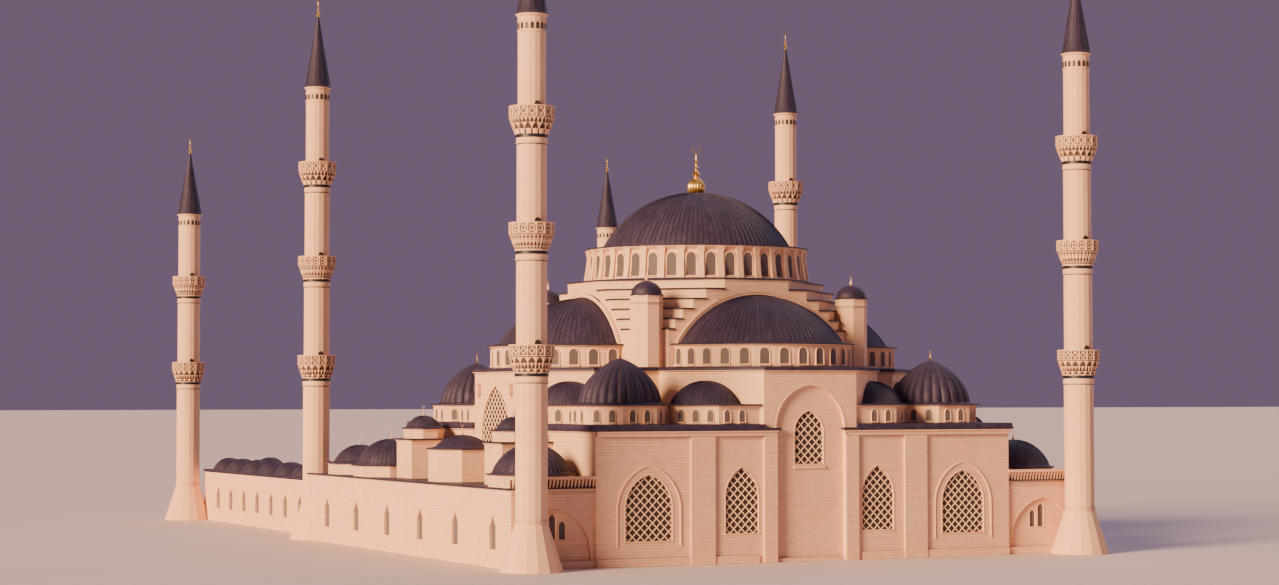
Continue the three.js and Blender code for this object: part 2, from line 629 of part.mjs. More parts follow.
// Front or back wall of the hall: the middle bay rises to the upper roof.
function endWall(door) {
  const h = ARM_FRONT_HALF;
  const outline = [
    [-BLOCK_X, 0], [BLOCK_X, 0], [BLOCK_X, EAVES], [h, EAVES], [h, UPPER_TOP], [-h, UPPER_TOP],
    [-h, EAVES], [-BLOCK_X, EAVES],
  ];
  const wall = upright(outline, -BLOCK_Y, -BLOCK_Y + WALL);
  const recess = upright(archway(BIG_ARCH), -BLOCK_Y - 1, -BLOCK_Y + 0.6);
  const openings = [archway(ARM_WINDOW)];
  if (door) openings.push(archway(DOOR));
  [-1, 1].forEach((side) => {
    openings.push(archway(INNER_BAY, side * INNER_BAY_X));
    openings.push(archway(OUTER_BAY, side * OUTER_BAY_X));
  });
  const tools = openings.map((points) => upright(points, -BLOCK_Y - 1, -BLOCK_Y + WALL + 1));
  return cut(wall, [recess, ...tools]);
}

// Side wall of the hall, with the tall window of the arm.
function sideWall(sx) {
  const h = ARM_SIDE_HALF;
  const end = BLOCK_Y - WALL - SEAT;
  const outline = [
    [-end, 0], [end, 0], [end, EAVES], [h, EAVES], [h, UPPER_TOP], [-h, UPPER_TOP],
    [-h, EAVES], [-end, EAVES],
  ];
  const turn = (sx * Math.PI) / 2;
  const wall = upright(outline, -BLOCK_X, -BLOCK_X + WALL, turn);
  const openings = [
    archway(SIDE_ARCH), archway(DOOR), archway(SIDE_WINDOW, -SIDE_WINDOW_Y),
    archway(SIDE_WINDOW, SIDE_WINDOW_Y),
  ];
  return cut(wall, openings.map((points) => upright(points, -BLOCK_X - 1, 1 - BLOCK_X + WALL, turn)));
}

// The front wall in three lengths: the rising bay and a wing on each side of it.
const frontWall = endWall(false);
[
  ["left", -BLOCK_X - 1, -ARM_FRONT_HALF - SEAT],
  ["middle", -ARM_FRONT_HALF, ARM_FRONT_HALF],
  ["right", ARM_FRONT_HALF + SEAT, BLOCK_X + 1],
].forEach(([name, from, to]) => piece(
  `front_wall_${name}`, frontWall.intersect(box(from, to, -BLOCK_Y - 1, 0, -1, 90)), STONE, hall));
piece("back_wall", endWall(true), STONE, hall, [0, 0], Math.PI);
piece("right_wall", sideWall(1), STONE, hall);
piece("left_wall", sideWall(-1), STONE, hall);
const inside = [BLOCK_X - WALL - SEAT, BLOCK_Y - WALL - SEAT];
piece("hall_floor", box(-inside[0], inside[0], -inside[1], inside[1], 0, FLOOR), STONE, hall);

// Room that the walls leave around a minaret's foot and shaft.
function minaretClearance(sx, y) {
  const [foot, shaft] = [FOOT_HALF + SEAT, SHAFT_RADII[0] + SEAT];
  return turned([
    [0, -1], [foot, -1], [foot, 0], [shaft, FOOT_TOP], [shaft, GALLERY_TOP + 2], [0, GALLERY_TOP + 2],
  ], SIDES, [sx * MINARET_X, y - HALL_Y]);
}

// Space under a dome and its drum.
function domeWell(half, rise, floor, base, at) {
  return turned([[0, floor], [half, floor], [half, base], [0, base + rise]], 8, at);
}

// A stair block: its solids and the hollows under its roof and dome.
function blockTower(sx, sy) {
  const at = [sx * BLOCK_TOWER_X, sy * BLOCK_TOWER_Y];
  const [half, top] = [BLOCK_TOWER_HALF, BLOCK_TOWER_TOP];
  const wide = (inset, near, from, to) => {
    const xs = [sx * near, sx * (BLOCK_TOWER_X + half - inset)].sort((a, b) => a - b);
    return box(xs[0], xs[1], at[1] - half + inset, at[1] + half - inset, from, to);
  };
  return {
    solids: [
      wide(0, BLOCK_X + SEAT, GALLERY_TOP - 0.1, top),
      post(BLOCK_TOWER_DRUM / Math.cos(Math.PI / 8), top - 0.1, BLOCK_TOWER_DRUM_TOP, 8, at),
      cap(BLOCK_TOWER_DRUM - 0.4, BLOCK_TOWER_RISE, BLOCK_TOWER_DRUM_TOP - 0.01, 12, 2, at),
    ],
    holes: [
      wide(GALLERY_ROOF, BLOCK_X - 1, GALLERY_TOP - 1, top - 0.6),
      domeWell(BLOCK_TOWER_DRUM - 0.9, BLOCK_TOWER_RISE - 0.7, top - 1, BLOCK_TOWER_DRUM_TOP, at),
    ],
  };
}

// Gallery beside the hall: outer wall with windows, a blind arch at the front, and domes on the roof.
function gallery(sx) {
  const near = BLOCK_X + SEAT;
  const [front, back] = [GALLERY_FRONT, GALLERY_END];
  const span = (from, to) => [sx * from, sx * to].sort((a, b) => a - b);
  const [x0, x1] = span(near, GALLERY_OUT);
  const [x2, x3] = span(near - 1, GALLERY_OUT - GALLERY_WALL);
  const solids = [box(x0, x1, front, back, 0, GALLERY_TOP)];
  const holes = [
    box(x2, x3, front + GALLERY_WALL, back - GALLERY_WALL, -1, GALLERY_TOP - GALLERY_ROOF),
    upright(archway(WING_ARCH, sx * WING_ARCH_X), front - 1, front + 0.45),
    ...WING_LANCETS.map(([x, lancet]) => upright(archway(lancet, sx * x), front - 1, front + 2)),
  ];
  GALLERY_DOMES.forEach(({ x, y, z, radius, rise }) => {
    const at = [sx * x, y];
    solids.push(post(Math.min(radius + 0.6, 6.6) / Math.cos(Math.PI / 8), GALLERY_TOP - 0.1, z, 8, at));
    solids.push(cap(radius, rise, z - 0.01, 12, 2, at));
    holes.push(domeWell(radius - 0.7, rise - 0.7, GALLERY_TOP - 1, z, at));
  });
  [-1, 1].forEach((sy) => {
    const tower = blockTower(sx, sy);
    solids.push(...tower.solids);
    holes.push(...tower.holes);
  });
  const turn = (sx * Math.PI) / 2;
  GALLERY_WINDOWS.forEach((y) =>
    holes.push(upright(archway(GALLERY_WINDOW), -GALLERY_OUT - 1, -GALLERY_OUT + 2, turn, [0, y])));
  const minarets = MINARET_ROWS.slice(0, 2).map((y) => minaretClearance(sx, y));
  return cut(join(solids), [...holes, ...minarets]);
}

piece("right_gallery", gallery(1), STONE, hall);
piece("left_gallery", gallery(-1), STONE, hall);

// Entrance gallery between the hall and the courtyard.
function entranceGallery() {
  const half = BLOCK_X - SEAT;
  const [front, back] = [BLOCK_Y + SEAT, GALLERY_END];
  const roof = GALLERY_TOP - GALLERY_ROOF;
  const holes = [box(-half - 1, half + 1, front - 1, back - GALLERY_WALL, -1, roof)];
  const solids = [box(-half, half, front, back, 0, GALLERY_TOP)];
  const { xs, z, radius, rise } = ENTRANCE_DOMES;
  xs.forEach((x) => {
    const at = [x, (front + back) / 2];
    solids.push(post(radius + 0.5, GALLERY_TOP - 0.1, z, 8, at));
    solids.push(cap(radius, rise, z - 0.01, 12, 2, at));
    holes.push(domeWell(radius - 0.8, rise - 0.6, GALLERY_TOP - 1, z, at));
    holes.push(upright(archway(x === 0 ? ENTRANCE_DOOR : ENTRANCE_WINDOW, x), back - 2, back + 1));
  });
  return cut(join(solids), holes);
}

piece("entrance_gallery", entranceGallery(), STONE, hall);

// Courtyard: outer wall, arcade and its roof of small domes.
const courtRing = (out, depth) => {
  const [x, y0, y1] = [COURT_OUT - out, GALLERY_END + SEAT, COURT_END - out];
  const [inner, end] = [x - depth, y1 - depth];
  return [[-x, y0], [-inner, y0], [-inner, end], [inner, end], [inner, y0], [x, y0], [x, y1], [-x, y1]];
};

const courtHoles = MINARET_ROWS.slice(1).flatMap((y) => [-1, 1].map((sx) => minaretClearance(sx, y)));

function courtWall() {
  const { first, pitch, count } = COURT_WINDOWS;
  const windows = Array.from({ length: count }, (_, k) =>
    upright(archway(COURT_WINDOW), -COURT_OUT - 1, COURT_OUT + 1, Math.PI / 2, [0, first + pitch * k]));
  windows.push(upright(archway(COURT_GATE), COURT_END - 3, COURT_END + 1));
  return cut(raised(courtRing(0, COURT_WALL), 0, COURT_TOP - 0.6), [...windows, ...courtHoles]);
}

// One side of the courtyard, cut from the whole ring: the left and right sides take the corners.
function courtSide(ring, side, inner) {
  const [x0, x1] = [
    [-COURT_OUT - 1, -inner],
    [-inner + SEAT, inner - SEAT],
    [inner, COURT_OUT + 1],
  ][side + 1];
  return ring.intersect(box(x0, x1, 0, COURT_END + 1, -1, 90));
}

function courtArcade(side) {
  const ring = raised(courtRing(COURT_DEPTH, GALLERY_WALL), 0, COURT_TOP - 0.6);
  const tools = [];
  const [inner, end] = [COURT_OUT - COURT_DEPTH, COURT_END - COURT_DEPTH];
  const run = end - GALLERY_END;
  for (let k = 0; k < COURT_BAYS; k += 1) {
    const y = GALLERY_END + (run * (k + 0.5)) / COURT_BAYS;
    const x = -inner + (2 * inner * (k + 0.5)) / COURT_BAYS;
    tools.push(upright(archway(ARCADE_ARCH), -inner - 1, inner + 1, Math.PI / 2, [0, y]));
    tools.push(upright(archway(ARCADE_ARCH, x), end - 3, end + 1));
  }
  return courtSide(cut(ring, tools), side, inner - GALLERY_WALL);
}

function courtRoof(side) {
  const reachIn = COURT_DEPTH + COURT_EAVES;
  const solids = [raised(courtRing(0, reachIn), COURT_TOP - 0.6 + SEAT, COURT_TOP)];
  const middle = COURT_OUT - COURT_DEPTH / 2;
  const run = COURT_END - COURT_DEPTH - GALLERY_END;
  const reach = middle - COURT_DEPTH - 0.6;
  const { radius, rise } = COURT_DOME;
  const dome = (x, y) => solids.push(cap(radius, rise, COURT_TOP - 0.01, 8, 2, [x, y]));
  for (let k = 0; k < COURT_BAYS; k += 1) {
    const y = GALLERY_END + (run * (k + 1.5)) / COURT_BAYS;
    [-1, 1].forEach((end) => dome(end * middle, k < COURT_BAYS - 1 ? y : COURT_END - COURT_DEPTH / 2));
    dome(-reach + (2 * reach * k) / (COURT_BAYS - 1), COURT_END - COURT_DEPTH / 2);
  }
  return courtSide(cut(join(solids), courtHoles), side, COURT_OUT - reachIn);
}

piece("court_wall", courtWall(), STONE, hall);
["left", "back", "right"].forEach((name, i) => {
  piece(`court_arcade_${name}`, courtArcade(i - 1), STONE, hall);
  piece(`court_roof_${name}`, courtRoof(i - 1), LEAD, hall);
});

export default mosque;
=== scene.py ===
"""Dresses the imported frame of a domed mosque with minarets, a model at one tenth of real size.

Sizes below are real metres. SCALE turns them into metres of the model, and HALL moves what
belongs to the prayer hall and its courtyard to their place between the minarets.
"""

import json
import logging
import math
from dataclasses import dataclass
from enum import Enum
from typing import Iterable, Sequence

import bpy
import numpy as np
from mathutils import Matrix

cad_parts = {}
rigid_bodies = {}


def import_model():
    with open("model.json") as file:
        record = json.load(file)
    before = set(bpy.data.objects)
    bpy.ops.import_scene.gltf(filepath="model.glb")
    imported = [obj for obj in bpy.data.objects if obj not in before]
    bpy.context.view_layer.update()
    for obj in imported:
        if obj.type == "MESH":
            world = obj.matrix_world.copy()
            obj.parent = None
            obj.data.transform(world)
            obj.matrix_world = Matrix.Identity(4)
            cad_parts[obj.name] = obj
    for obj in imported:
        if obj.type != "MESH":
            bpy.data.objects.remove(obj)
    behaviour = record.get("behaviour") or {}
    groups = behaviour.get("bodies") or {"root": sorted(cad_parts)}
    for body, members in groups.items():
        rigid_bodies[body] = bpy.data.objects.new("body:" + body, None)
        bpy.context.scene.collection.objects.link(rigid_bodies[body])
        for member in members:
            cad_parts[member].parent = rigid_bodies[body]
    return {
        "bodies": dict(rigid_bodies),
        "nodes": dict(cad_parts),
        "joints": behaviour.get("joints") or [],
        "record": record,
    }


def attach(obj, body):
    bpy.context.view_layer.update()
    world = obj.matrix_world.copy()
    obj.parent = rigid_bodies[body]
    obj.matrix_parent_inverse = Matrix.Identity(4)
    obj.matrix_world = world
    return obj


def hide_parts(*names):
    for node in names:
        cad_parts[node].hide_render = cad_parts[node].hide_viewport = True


Array = np.ndarray
log = logging.getLogger("mosque")

SCALE = 0.1
HALL = (0.0, -52.71)
ORIGIN = (0.0, 0.0)

# Corners are joined where they round to the same step of a metre; a key packs three such numbers.
WELD = 5000.0
KEY_BITS = 21

# Edges sharper than this stay sharp.
SHARP_DEGREES = 35.0

# A speed that counts as none, and a length that counts as endless.
NIL = 1e-9
FAR = 1e9

# The section of a roll between two lead sheets: places across a sheet, and heights there.
RIB_STEPS = np.array([0.0, 0.05, 0.1, 0.5, 0.9, 0.95])
RIB_HEIGHTS = np.array([1.0, 0.8, 0.0, 0.0, 0.0, 0.8])

QUARTERS = tuple(k * math.pi / 2 for k in range(4))
SIDES = (-1, 1)
CORNERS = ((-1, -1), (1, -1), (-1, 1), (1, 1))
CORNER_NAMES = ("front_left", "front_right", "back_left", "back_right")
BOX_FACES = np.array([[0, 1, 2, 3], [7, 6, 5, 4], [0, 4, 5, 1], [1, 5, 6, 2], [2, 6, 7, 3], [3, 7, 4, 0]])


# Shader trees written as sums.


class Value:
    """A shader socket; sums of values add the Math nodes that work them out."""

    def __init__(self, tree: "Finish", socket: bpy.types.NodeSocket) -> None:
        """Keeps the tree that the socket belongs to."""
        self.tree, self.socket = tree, socket

    def _sum(self, operation: str, first: object, second: object) -> "Value":
        """One Math node of two terms."""
        return self.tree.node("ShaderNodeMath", {"operation": operation}, {0: first, 1: second})

    def __add__(self, other: object) -> "Value":
        """This value and another."""
        return self._sum("ADD", self, other)

    __radd__ = __add__

    def __sub__(self, other: object) -> "Value":
        """This value less another."""
        return self._sum("SUBTRACT", self, other)

    def __rsub__(self, other: object) -> "Value":
        """Another value less this one."""
        return self._sum("SUBTRACT", other, self)

    def __mul__(self, other: object) -> "Value":
        """This value times another."""
        return self._sum("MULTIPLY", self, other)

    __rmul__ = __mul__

    def __truediv__(self, other: object) -> "Value":
        """This value over another."""
        return self._sum("DIVIDE", self, other)

    def __gt__(self, other: object) -> "Value":
        """1 where this value is the larger."""
        return self._sum("GREATER_THAN", self, other)

    def __lt__(self, other: object) -> "Value":
        """1 where this value is the smaller."""
        return self._sum("LESS_THAN", self, other)

    def size(self) -> "Value":
        """The value without its sign."""
        return self._sum("ABSOLUTE", self, 0.0)

    def whole(self) -> "Value":
        """The whole part, rounded down."""
        return self._sum("FLOOR", self, 0.0)

    def part(self) -> "Value":
        """What is left over the whole part."""
        return self._sum("FRACT", self, 0.0)


class Finish:
    """A procedural material with one Principled surface, built node by node."""

    def __init__(self, name: str) -> None:
        """Starts an empty tree with its surface and output.

        Args:
            name: The material's name.
        """
        self.material = bpy.data.materials.new(name)
        self.material.use_nodes = True
        self.nodes = self.material.node_tree.nodes
        self.nodes.clear()
        self.surface = self.nodes.new("ShaderNodeBsdfPrincipled")
        output = self.nodes.new("ShaderNodeOutputMaterial")
        self.material.node_tree.links.new(self.surface.outputs[0], output.inputs[0])

    def node(self, kind: str, settings: dict, values: dict, output: int | str = 0) -> Value:
        """Adds one node.

        Args:
            kind: The node's type.
            settings: Properties that are set before the sockets.
            values: Numbers, colours or Values for the sockets, by name or index.
            output: The output that is wanted.

        Returns:
            The wanted output as a Value.
        """
        made = self.nodes.new(kind)
        for key, value in settings.items():
            setattr(made, key, value)
        for key, value in values.items():
            self.feed(made.inputs[key], value)
        return Value(self, made.outputs[output])

    def feed(self, socket: bpy.types.NodeSocket, value: object) -> None:
        """Links or sets one socket.

        Args:
            socket: The input.
            value: A Value to link, or a number or colour to set.
        """
        if isinstance(value, Value):
            self.material.node_tree.links.new(value.socket, socket)
        else:
            socket.default_value = value

    def set(self, **values: object) -> None:
        """Feeds sockets of the surface; an underscore stands for a space."""
        for key, value in values.items():
            self.feed(self.surface.inputs[key.replace("_", " ")], value)

    def place(self) -> tuple[Value, Value, Value, Value]:
        """Object coordinates in real metres.

        Returns:
            The vector and its three parts.
        """
        raw = self.node("ShaderNodeTexCoord", {}, {}, "Object")
        real = self.vector("MULTIPLY", raw, (1 / SCALE,) * 3)
        return (real, *self.split(real))

    def own_place(self) -> tuple[Value, Value, Value, Value]:
        """The piece's own coordinates, about its middle, in real metres."""
        own = self.node("ShaderNodeAttribute", {"attribute_name": "own"}, {}, "Vector")
        return (own, *self.split(own))

    def split(self, vector: Value) -> tuple[Value, Value, Value]:
        """The three parts of a vector."""
        made = self.node("ShaderNodeSeparateXYZ", {}, {0: vector}).socket.node
        return tuple(Value(self, made.outputs[k]) for k in range(3))

    def joined(self, x: object, y: object, z: object) -> Value:
        """A vector of three parts."""
        return self.node("ShaderNodeCombineXYZ", {}, {0: x, 1: y, 2: z})

    def vector(self, operation: str, first: object, second: object) -> Value:
        """One Vector Math node."""
        return self.node("ShaderNodeVectorMath", {"operation": operation}, {0: first, 1: second})

    def noise(self, where: Value, scale: float, detail: float = 3.0) -> Value:
        """Soft noise about 0.5."""
        return self.node("ShaderNodeTexNoise", {}, {"Vector": where, "Scale": scale, "Detail": detail})

    def speck(self, where: Value) -> Value:
        """One random number for each whole place."""
        return self.node("ShaderNodeTexWhiteNoise", {}, {"Vector": where})

    def blend(self, share: object, first: object, second: object) -> Value:
        """A colour between two, by a share from 0 to 1."""
        settings = {"data_type": "RGBA", "clamp_factor": True}
        return self.node("ShaderNodeMix", settings, {0: share, 6: first, 7: second}, 2)

    def ramp(self, value: object, low: float, high: float) -> Value:
        """0 below low, 1 above high, even between."""
        return self.node("ShaderNodeMapRange", {}, {0: value, 1: low, 2: high})

    def larger(self, first: object, second: object) -> Value:
        """The larger of two values."""
        return self.node("ShaderNodeMath", {"operation": "MAXIMUM"}, {0: first, 1: second})

    def relief(self, height: Value, depth: float, strength: float = 1.0) -> None:
        """Bumps the surface by a height, in metres of the model."""
        values = {"Strength": strength, "Distance": depth, "Height": height}
        self.set(Normal=self.node("ShaderNodeBump", {}, values))


def tint(colour: Sequence[float], factor: float = 1.0) -> tuple[float, float, float, float]:
    """An opaque colour, made lighter or darker."""
    return (*(min(1.0, c * factor) for c in colour), 1.0)


CREAM = (0.89, 0.56, 0.365)
LEAD = (0.034, 0.0245, 0.062)
PALE_LEAD = (0.076, 0.056, 0.112)
GOLD = (0.92, 0.60, 0.16)
# Window glass: dark colours painted as the shade behind the panes.
PANE_SHADE = ((0.030, 0.024, 0.030), (0.060, 0.034, 0.036))
BAND = ((0.006, 0.007, 0.013), (0.016, 0.020, 0.038))
FLOOR = ((0.62, 0.55, 0.56), (0.67, 0.60, 0.61))

# Lengths of an ashlar block and of a lead sheet, the width of a flat roof's sheet, and a paving slab's side.
BLOCK_LENGTH = 1.25
SHEET_LENGTH = 1.9
SHEET_WIDTH = 0.8
PAVING_SLAB = 1.5


def lead_colour(finish: Finish, where: Value, sheet: Value) -> Value:
    """Lead grey with a tone for each sheet and pale weather streaks.

    Args:
        finish: The tree.
        where: Coordinates for the noise.
        sheet: One random number for each sheet.

    Returns:
        The colour.
    """
    cloud = finish.noise(where, 0.35, 4.0)
    streak = finish.noise(finish.vector("MULTIPLY", where, (1.6, 1.6, 0.25)), 1.0, 5.0)
    base = finish.blend(sheet, tint(LEAD, 0.75), tint(LEAD, 1.3))
    worn = finish.blend(finish.ramp(streak, 0.5, 0.75) * 0.5, base, tint(PALE_LEAD))
    return finish.blend(finish.ramp(cloud, 0.45, 0.8) * 0.5, worn, tint(LEAD, 0.62))


def stone_finish(name: str, course: float = 0.48, lead_below: float = -9.0, line: float = 0.62,
                 joint: float = 0.22) -> Finish:
    """Ashlar in courses, with lead on the flat tops.

    Args:
        name: The material's name.
        course: Height of a course.
        lead_below: Everything lower than this height, in real metres, is lead.
        line: How dark the level joints are.
        joint: How dark the upright joints are beside the level ones.

    Returns:
        The finish.
    """
    made = Finish(name)
    where, x, y, z = made.place()
    facing = made.node("ShaderNodeNewGeometry", {}, {}, "Normal")
    nx, ny, nz = made.split(facing)
    side = (nx.size() - ny.size()) > 0.0
    along = x * (1 - side) + y * side
    row = z / course
    shift = (row.whole() * 0.5).part()
    block = along / BLOCK_LENGTH + shift
    level = (row.part() - 0.5).size() > 0.455
    upright_joint = ((block.part() - 0.5).size() > 0.486) * joint
    gap = made.larger(level, upright_joint)
    each = made.speck(made.joined(block.whole(), row.whole(), side))
    cloud = made.noise(where, 0.16, 4.0)
    grain = made.noise(where, 2.6, 6.0)
    rain = made.noise(made.vector("MULTIPLY", where, (0.9, 0.9, 0.06)), 1.0, 4.0)
    warm = made.blend(each * min(line + 0.12, 0.7), tint(CREAM, 0.9), tint(CREAM, 1.06))
    aged = made.blend(made.ramp(cloud, 0.4, 0.75) * 0.35, warm, tint((0.80, 0.60, 0.47)))
    washed = made.blend(made.ramp(rain, 0.52, 0.8) * 0.28, aged, tint((0.62, 0.46, 0.37)))
    jointed = made.blend(gap * line, washed, tint((0.36, 0.22, 0.17)))
    top = made.larger(nz > 0.9, z < lead_below)
    metal = lead_colour(made, where, each)
    made.set(Base_Color=made.blend(top, jointed, metal), Roughness=0.82 - top * 0.25 + grain * 0.1)
    made.relief((1 - gap * line) * 1.3 + grain * 0.3, 0.0025, 0.8)
    return made


def lead_finish(name: str, ribs: int) -> Finish:
    """Lead sheets between rolls that run up a dome, with painted shade along the rolls.

    Args:
        name: The material's name.
        ribs: Number of rolls around a whole dome; 0 for a flat roof.

    Returns:
        The finish.
    """
    made = Finish(name)
    if ribs:
        where, x, y, z = made.own_place()
        turn = made.node("ShaderNodeMath", {"operation": "ARCTAN2"}, {0: y, 1: x})
        column = turn * (ribs / math.tau)
    else:
        where, x, y, z = made.place()
        column, z = x / SHEET_WIDTH, y
    row = z / SHEET_LENGTH + column.whole() * 0.37
    sheet = made.speck(made.joined(column.whole(), row.whole(), 0.0))
    seam = (row.part() - 0.5).size() > 0.475
    roll = (column.part() - 0.5).size() > (0.43 if ribs else 0.46)
    colour = lead_colour(made, where, sheet)
    edged = made.blend(seam * 0.6, colour, tint(LEAD, 0.4))
    # Painted shade: the rolls are darkened towards dark lead.
    made.set(Base_Color=made.blend(roll * 0.5, edged, tint(LEAD, 0.5)))
    grain = made.noise(where, 3.0, 5.0)
    made.set(Roughness=0.5 + grain * 0.25, Metallic=0.15)
    made.relief(seam * -0.6 + grain * 0.35 + (0.0 if ribs else roll * 1.5), 0.003, 0.7)
    return made


def gilt_finish() -> Finish:
    """Gilding with faint dulling.

    Returns:
        The finish.
    """
    made = Finish("gilt")
    where, *_ = made.own_place()
    dull = made.noise(where, 2.0, 4.0)
    made.set(Base_Color=made.blend(made.ramp(dull, 0.4, 0.8), tint(GOLD), tint(GOLD, 0.62)))
    made.set(Metallic=1.0, Roughness=0.22 + dull * 0.25)
    return made


def clouded_finish(name: str, scale: float, colours: Sequence[Sequence[float]], rough: float,
                   spread: float) -> Finish:
    """Two colours in soft clouds.

    Args:
        name: The material's name.
        scale: Scale of the clouds.
        colours: The two colours.
        rough: Roughness where the first colour shows.
        spread: What the clouds add to it.

    Returns:
        The finish.
    """
    made = Finish(name)
    where, *_ = made.place()
    cloud = made.noise(where, scale, 2.0)
    colour = made.blend(cloud, *(tint(each) for each in colours))
    made.set(Base_Color=colour, Roughness=rough + cloud * spread)
    return made


def carved_finish(name: str, colour: Sequence[float] = CREAM) -> Finish:
    """Cut stone with painted shade: the piece's depth attribute darkens its hollows and gaps.

    Args:
        name: The material's name.
        colour: The stone's colour.

    Returns:
        The finish.
    """
    made = Finish(name)
    where, *_ = made.place()
    depth = made.node("ShaderNodeAttribute", {"attribute_name": "depth"}, {}, "Fac")
    grain = made.noise(where, 2.2, 5.0)
    base = made.blend(grain, tint(colour, 0.9), tint(colour, 1.06))
    # Painted shade: the depth attribute blends the stone towards dark brown in hollows and gaps.
    made.set(Base_Color=made.blend(depth, base, tint((0.095, 0.050, 0.036))), Roughness=0.8 + grain * 0.1)
    made.relief(grain, 0.002, 0.5)
    return made


def paving_finish() -> Finish:
    """Square paving slabs.

    Returns:
        The finish.
    """
    made = Finish("paving")
    _, x, y, _ = made.place()
    column, row = x / PAVING_SLAB, y / PAVING_SLAB
    each = made.speck(made.joined(column.whole(), row.whole(), 0.0))
    gap = made.larger((column.part() - 0.5).size() > 0.48, (row.part() - 0.5).size() > 0.48)
    slab = made.blend(each, tint((0.62, 0.55, 0.47)), tint((0.74, 0.67, 0.58)))
    made.set(Base_Color=made.blend(gap * 0.6, slab, tint((0.3, 0.25, 0.21))), Roughness=0.7 + each * 0.15)
    made.relief(1 - gap, 0.002)
    return made


def wood_finish() -> Finish:
    """Dark door timber with upright grain.

    Returns:
        The finish.
    """
    made = Finish("door_timber")
    where, *_ = made.place()
    grain = made.noise(made.vector("MULTIPLY", where, (9.0, 9.0, 0.6)), 1.0, 5.0)
    colour = made.blend(grain, tint((0.05, 0.025, 0.015)), tint((0.13, 0.065, 0.035)))
    made.set(Base_Color=colour, Roughness=0.5 + grain * 0.2)
    made.relief(grain, 0.002, 0.6)
    return made


# Shapes.


@dataclass
class Body:
    """Corners and faces of closed shapes; a triangle repeats one of its corners.

    Attributes:
        points: Corners, in real metres.
        faces: Four corner numbers for each face.
        own: Corners about the shape's own middle, for patterns that turn with it.
        depth: How dark the carved finish paints each corner, from 0 to 1; mostly painted shade for how deep
            it lies in a hollow.
    """

    points: Array
    faces: Array
    own: Array | None = None
    depth: Array | None = None

    def __post_init__(self) -> None:
        """Fills in what was left out."""
        self.own = self.points.copy() if self.own is None else self.own
        self.depth = np.zeros(len(self.points)) if self.depth is None else self.depth

    def outward(self) -> "Body":
        """Turns the faces round if they enclose a negative volume.

        Returns:
            The same body.
        """
        a, b, c, d = (self.points[self.faces[:, k]] for k in range(4))
        volume = np.einsum("ij,ij->", a, np.cross(b, c)) + np.einsum("ij,ij->", a, np.cross(c, d))
        if volume < 0:
            self.faces = self.faces[:, ::-1]
        return self

    def welded(self) -> "Body":
        """Joins corners that stand in one place, so that poles and seams are closed.

        Returns:
            The joined body.
        """
        keys = np.round(self.points * WELD).astype(np.int64) + (1 << KEY_BITS - 1)
        code = (keys[:, 0] << 2 * KEY_BITS) | (keys[:, 1] << KEY_BITS) | keys[:, 2]
        _, first, inverse = np.unique(code, return_index=True, return_inverse=True)
        return Body(self.points[first], inverse.reshape(-1)[self.faces], self.own[first], self.depth[first])

    def moved(self, x: float, y: float, z: float = 0.0) -> "Body":
        """A copy set elsewhere; its own coordinates stay."""
        return Body(self.points + (x, y, z), self.faces, self.own, self.depth)

    def scattered(self, places: Array) -> "Body":
        """Copies set on places around a plan.

        Args:
            places: Rows of x, y and the angle that the copy's front turns from the -Y side.
                The copy's own axes are along the wall, out of the wall, and up.

        Returns:
            All the copies.
        """
        places = np.atleast_2d(np.asarray(places, float))
        x, y, turn = (places[:, k][:, None] for k in range(3))
        along, out, up = (self.points[None, :, k] for k in range(3))
        cos, sin = np.cos(turn), np.sin(turn)
        points = np.stack([x + along * cos + out * sin, y + along * sin - out * cos, up + 0 * x], -1)
        count = len(places)
        starts = (np.arange(count) * len(self.points))[:, None, None]
        own = np.broadcast_to(self.own, (count, *self.own.shape)).reshape(-1, 3)
        return Body(points.reshape(-1, 3), (self.faces[None] + starts).reshape(-1, 4), own,
                    np.tile(self.depth, count)).outward()


def gathered(bodies: Iterable[Body]) -> Body:
    """Several bodies as one.

    Args:
        bodies: The bodies.

    Returns:
        One body.
    """
    parts = list(bodies)
    starts = np.cumsum([0] + [len(b.points) for b in parts[:-1]])
    return Body(
        np.concatenate([b.points for b in parts]),
        np.concatenate([b.faces + s for b, s in zip(parts, starts)]),
        np.concatenate([b.own for b in parts]),
        np.concatenate([b.depth for b in parts]),
    )


def grid_faces(rows: int, columns: int, wrap_rows: bool, wrap_columns: bool) -> Array:
    """Faces of a grid of corners; the last row or column joins the first where it wraps.

    Args:
        rows: Rows of corners.
        columns: Columns of corners.
        wrap_rows: Whether the last row joins the first.
        wrap_columns: Whether the last column joins the first.

    Returns:
        Four corner numbers for each face.
    """
    i = np.arange(rows if wrap_rows else rows - 1)[:, None]
    j = np.arange(columns if wrap_columns else columns - 1)[None, :]
    low, high = i * columns, (i + 1) % rows * columns
    on = (j + 1) % columns
    return np.stack([low + j, low + on, high + on, high + j], -1).reshape(-1, 4)


